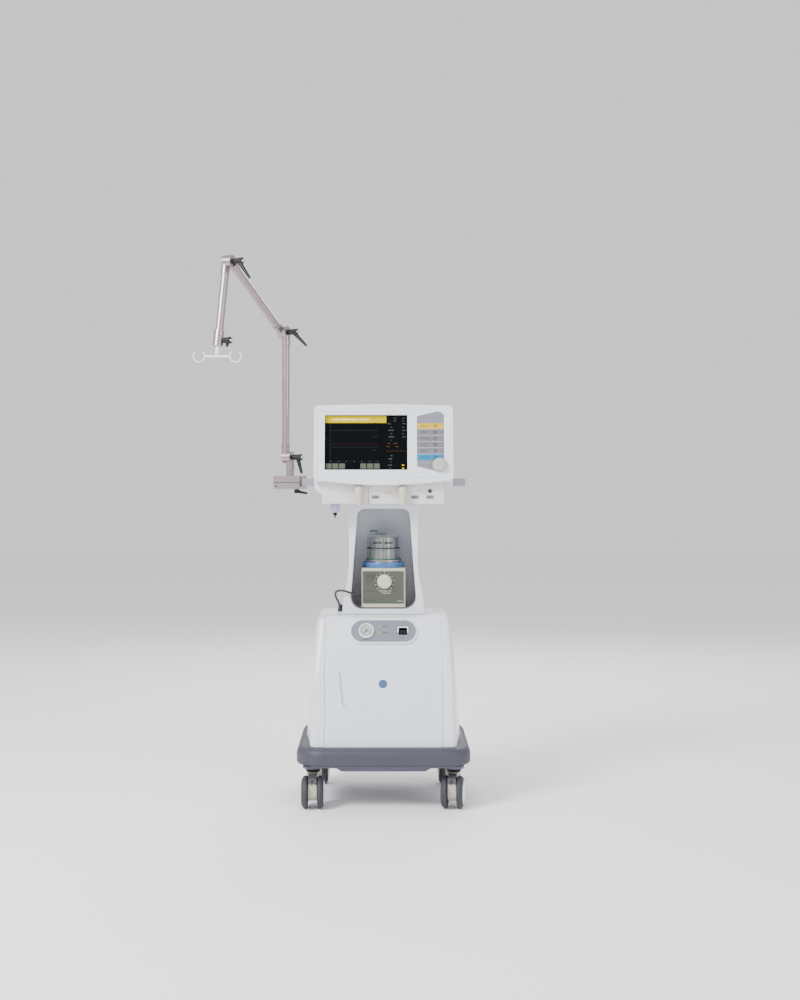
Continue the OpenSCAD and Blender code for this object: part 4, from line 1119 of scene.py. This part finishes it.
@dataclass
class DisplayHead:
    """Tilted display: shell, bezel, screen with its lit marks, six keys and the encoder knob."""

    screen_left: float = -183.5
    screen_high: float = 222.0
    screen_deep: float = 13.3
    trace_from: float = -165.0
    trace_to: float = -17.0
    keys_low: float = 77.4
    key_pitch: float = 19.8
    knob_spot: Pair = (174.5, 62.0)
    knob_r: float = 22.5

    def __post_init__(self) -> None:
        """Works out the place of the face: x right, y up the face, z out of it."""
        knob = front_place("encoder_turn")
        self.face = moved(knob, -self.knob_spot[0], -self.knob_spot[1])
        self.glass = moved(self.face, 0, 0, -self.screen_deep)

    def build(self) -> None:
        """Makes the whole head."""
        softened("head_shell", "head_cover", WHITE_ABS, "shell_white", 1.5)
        softened("monitor_bezel", "bezel", WHITE_ABS, "shell_white", 3.2, segments=4)
        dress("head_chassis", SHEET_STEEL)
        softened("cross_rail", "equipment_rail", RAIL_ALU, "arm_aluminium", 1.2)
        dress("screen", PANEL_GLASS)
        # Painted shade: thin grey strips on the bezel stand in for the shade in its creases.
        creases = Form()
        for left, low, right, high in (
            (-206, 230.4, 98, 231.4), (-206.9, 24, -206, 231.4), (-206, 23.4, 206, 24.2)
        ):
            creases.block((left, low, -0.5), (right, high, 0.06), self.face)
        creases.piece("bezel_crease_shade", CREASE_SHADE_PAINT, "shell_white")
        self.alarm_lamp()
        self.screen_marks()
        self.screen_values()
        self.keys()
        self.knob()

    def bar(self, form: Form, left: float, low: float, right: float, high: float) -> None:
        """Adds a flat lit mark on the glass."""
        form.block((left, low, 0.02), (right, high, 0.1), self.glass)

    def print_on_glass(self, form: Form, words: Sequence[tuple[str, float, float]], height: float) -> None:
        """Adds lit words on the glass, each with its left end and its foot."""
        for text, x, up in words:
            form.letters(text, height, moved(self.glass, x, up, 0.1))

    def alarm_lamp(self) -> None:
        """Makes the pale alarm lamp along the bezel's top."""
        lamp = Form().plate(rounded_rectangle(168, 5, 2.4), -0.6, 0.5, moved(self.face, 0, 247))
        lamp.eased(0.3, 2).piece("alarm_lamp", COVER_PP, "holder_white")

    def screen_marks(self) -> None:
        """Makes the alarm band, the traces, the axes and the soft keys."""
        left, high = self.screen_left, self.screen_high
        Form().block((left + 1, high - 24, 0.02), (8.8, high - 1, 0.12), self.glass).piece(
            "lit_alarm_band", LIT_YELLOW, "key_yellow"
        )
        Form().letters("CHECK BREATHING CIRCUIT", 6.4, moved(self.glass, left + 22, high - 15.5, 0.2)).piece(
            "lit_band_words", LIT_BAND_TEXT, "gauge_white"
        )
        pale, dim, red, soft = Form(), Form(), Form(), Form()
        start, end = self.trace_from, self.trace_to
        for up in (174.7, 121.0):
            self.bar(dim, start, up - 0.4, end, up + 0.4)
        self.bar(red, start, 130.3, end, 130.8)
        self.bar(dim, start - 0.4, 76, start, 197)
        self.bar(dim, start - 0.4, 75.6, end, 76)
        for step in range(16):
            up = 78 + 7.9 * step
            self.bar(dim, -168.5 if step % 2 else -171, up, start, up + 0.7)
            if step % 3 == 0:
                self.print_on_glass(dim, [(str(10 * (step % 5)), -180, up - 1.5)], 3.2)
        for step in range(7):
            self.bar(pale, start + 24.3 * step, 74, -163.8 + 24.3 * step, 77.4)
        self.print_on_glass(dim, [("PAW", -34, 196), ("FLOW", -34, 153), ("VOL", -34, 109)], 4.0)
        names = (("RATE", "14"), ("VOL", "0.45"), ("FLOW", "38"), ("O2", "40"), ("PEEP", "5"), ("SENS", "2"))
        for index, (name, value) in enumerate(names):
            x = -171 + 21 * index + (45 if index > 2 else 0)
            soft.plate(rounded_rectangle(18.6, 17, 1.6), 0.02, 0.1, moved(self.glass, x, 61.0))
            pale.letters(name, 3.6, moved(self.glass, x, 63.5, 0.15), centred=True)
            pale.letters(value, 4.6, moved(self.glass, x, 55.5, 0.15), centred=True)
        pale.piece("lit_pale_marks", LIT_PALE, "gauge_white")
        dim.piece("lit_dim_marks", LIT_DIM, "pad_grey")
        red.piece("lit_red_trace", LIT_RED, "key_yellow")
        soft.piece("lit_soft_keys", LIT_SOFT_KEY, "key_grey")

    def screen_values(self) -> None:
        """Makes the column of readings on the right of the screen."""
        pale, orange, yellow = Form(), Form(), Form()
        rows = (
            ("A/C", 32, 212), ("SET", 32, 203), ("FIO2", 12, 194), ("21", 22, 183), ("PPEAK", 16, 173),
            ("24", 22, 162), ("PMEAN", 16, 152), ("9", 22, 141), ("MV", 22, 92), ("PEEP", 16, 82),
            ("5", 22, 72), ("RATE", 14, 62), ("14", 18, 53),
        )
        for row in rows:
            self.print_on_glass(pale, [row], 3.8)
            up = row[2]
            if up > 150:
                self.bar(pale, 58, up + 1, 64 + up % 7, up + 2)
        tidal = (("VTE", 12, 131), ("LIMIT", 32, 131), ("0.43", 10, 121), ("0.60", 38, 121))
        self.print_on_glass(orange, tidal, 3.6)
        self.bar(orange, 8, 108.6, 68, 109.0)
        for up in (64, 53.5):
            yellow.plate(rounded_rectangle(7, 4.5, 0.8), 0.02, 0.12, moved(self.glass, 61, up))
        pale.piece("lit_readings", LIT_PALE, "gauge_white")
        orange.piece("lit_orange_readings", LIT_ORANGE, "key_yellow")
        yellow.piece("lit_yellow_flags", LIT_YELLOW, "key_yellow")

    def keys(self) -> None:
        """Makes the key panel, the six keys and the print on them."""
        dress("key_panel", PAD_FILM)
        lines = Form()
        for number in range(1, 6):
            up = self.keys_low + number * self.key_pitch - 0.5
            lines.block((105.4, up - 0.4, 0.1), (187.6, up + 0.4, 0.75), self.face)
        lines.piece("key_dividers", WHITE_INK, "gauge_white")
        words = ("SILENCE", "RESET", "SCREENS", "MODE", "MENU", "100% O2")
        for number, word in enumerate(words, 1):
            finish, slot = {1: (YELLOW_FILM, "key_yellow"), 6: (CYAN_FILM, "key_cyan")}.get(
                number, (KEY_FILM, "key_grey")
            )
            node = f"key_{number}"
            softened(node, f"{node}_film", finish, slot, 0.4, node, 2)
            up = self.keys_low + (6 - number) * self.key_pitch + 9.4
            place = moved(self.face, 0, up, 0.68)
            marks = Form().letters(word, 4.8, moved(place, 116, -2.2))
            ring = [(3.4, 0), (4.9, 0), (4.9, 0.12), (3.4, 0.12), (3.4, 0)]
            marks.turned(ring, moved(place, 161, 0, -0.06), 24)
            marks.block((-2.2 + 0.5 * number, -0.7, 0), (2.2, 0.7, 0.1), moved(place, 161, 0))
            marks.piece(f"{node}_print", INK, "needle_black", node)

    def knob(self) -> None:
        """Makes the ivory encoder knob with its skirt and a softly dished front."""
        place = front_place("encoder_turn")
        r = self.knob_r
        Form().turned(
            [(0, -9), (4, -9), (4, 0.9), (r - 1, 0.9), (r, 1.8), (r, 4.4), (r - 0.9, 5.4), (r - 1.6, 5.8),
             (r - 2.0, 12.2), (r - 3.0, 14.6), (r - 5.0, 16.2), (r - 8.0, 16.8), (8, 16.3), (0, 16.0)],
            place, 96,
        ).piece("selector_knob", KNOB_TPE, "knob_white", "encoder_knob", ["encoder_knob"])


# ---- hose arm ----


class Elbow(Enum):
    """The arm's clamping levers that lie along a hinge: the lever's joint and its piece."""

    LOWER = ("lower_lever_turn", "lever_lower", 33.0)
    MIDDLE = ("middle_lever_turn", "lever_middle", 33.0)
    UPPER = ("upper_lever_turn", "lever_upper", 33.0)
    END = ("end_lever_turn", "lever_end", 27.0)


@dataclass
class HoseArm:
    """Jointed hose arm on the rail's left end: clamp, post, three links, levers and the double hook."""

    tip_long: float = 6.5

    def build(self) -> None:
        """Makes the clamp, the links, the levers and the hook."""
        softened("arm_clamp", "rail_clamp", CAST_ALU, "arm_aluminium", 2.0)
        low = node_box("arm_clamp")[0]
        # Painted shade: a thin dark band stands in for the shaded groove round the clamp, and a dark disc for the
        # shade in a small hole.
        seam = Form().block((low.x - 0.1, -48.1, 1001.4), (-267.9, 24.1, 1003))
        seam.turned(
            [(0, 0), (2.6, 0), (2.6, 0.3), (0, 0.3)],
            Matrix.Translation((low.x + 9, -48, low.z + 9)) @ FACING, 24,
        )
        seam.piece("clamp_seam_shade", RACE_STEEL, "frame_steel")
        for node in ("arm_post", "lower_arm", "middle_arm", "end_arm"):
            softened(node, f"{node}_tube", ANODISED, "arm_aluminium", 1.1, node)
        softened("hose_holder", "hose_hook", HOOK_POM, "holder_white", 0.9, "hose_holder")
        softened("lever_clamp", "clamp_lever", LEVER_NYLON, "black_plastic", 1.5, "lever_clamp")
        for elbow in Elbow:
            self.lever(*elbow.value)

    def lever(self, hinge: str, node: str, hub: float) -> None:
        """Makes one lever and its bright tip.

        Args:
            hinge: the joint the lever turns on.
            node: the lever's node.
            hub: how far out its hub ends.
        """
        softened(node, f"{node}_handle", LEVER_NYLON, "black_plastic", 1.4, node)
        low, high = hub - 0.4, hub + self.tip_long
        Form().turned(
            [(0, low), (4.6, low), (4.6, low + 1), (3.4, high - 1), (2.6, high), (0, high)],
            joint_place(hinge), 24,
        ).piece(f"{node}_tip", ZINC, "machine_steel", node)


def main() -> None:
    """Builds the scene in order."""
    logging.basicConfig(level=logging.INFO, format="%(message)s")
    Studio().build()
    HumidifierLead().build()
    Base().build()
    for tag, braked in (("fl", True), ("fr", True), ("rl", False), ("rr", False)):
        Caster(tag, braked).build()
    Cabinet().build()
    Controls().build()
    Column().build()
    Humidifier().build()
    PortHousing().build()
    DisplayHead().build()
    HoseArm().build()


if __name__ == "__main__":
    main()
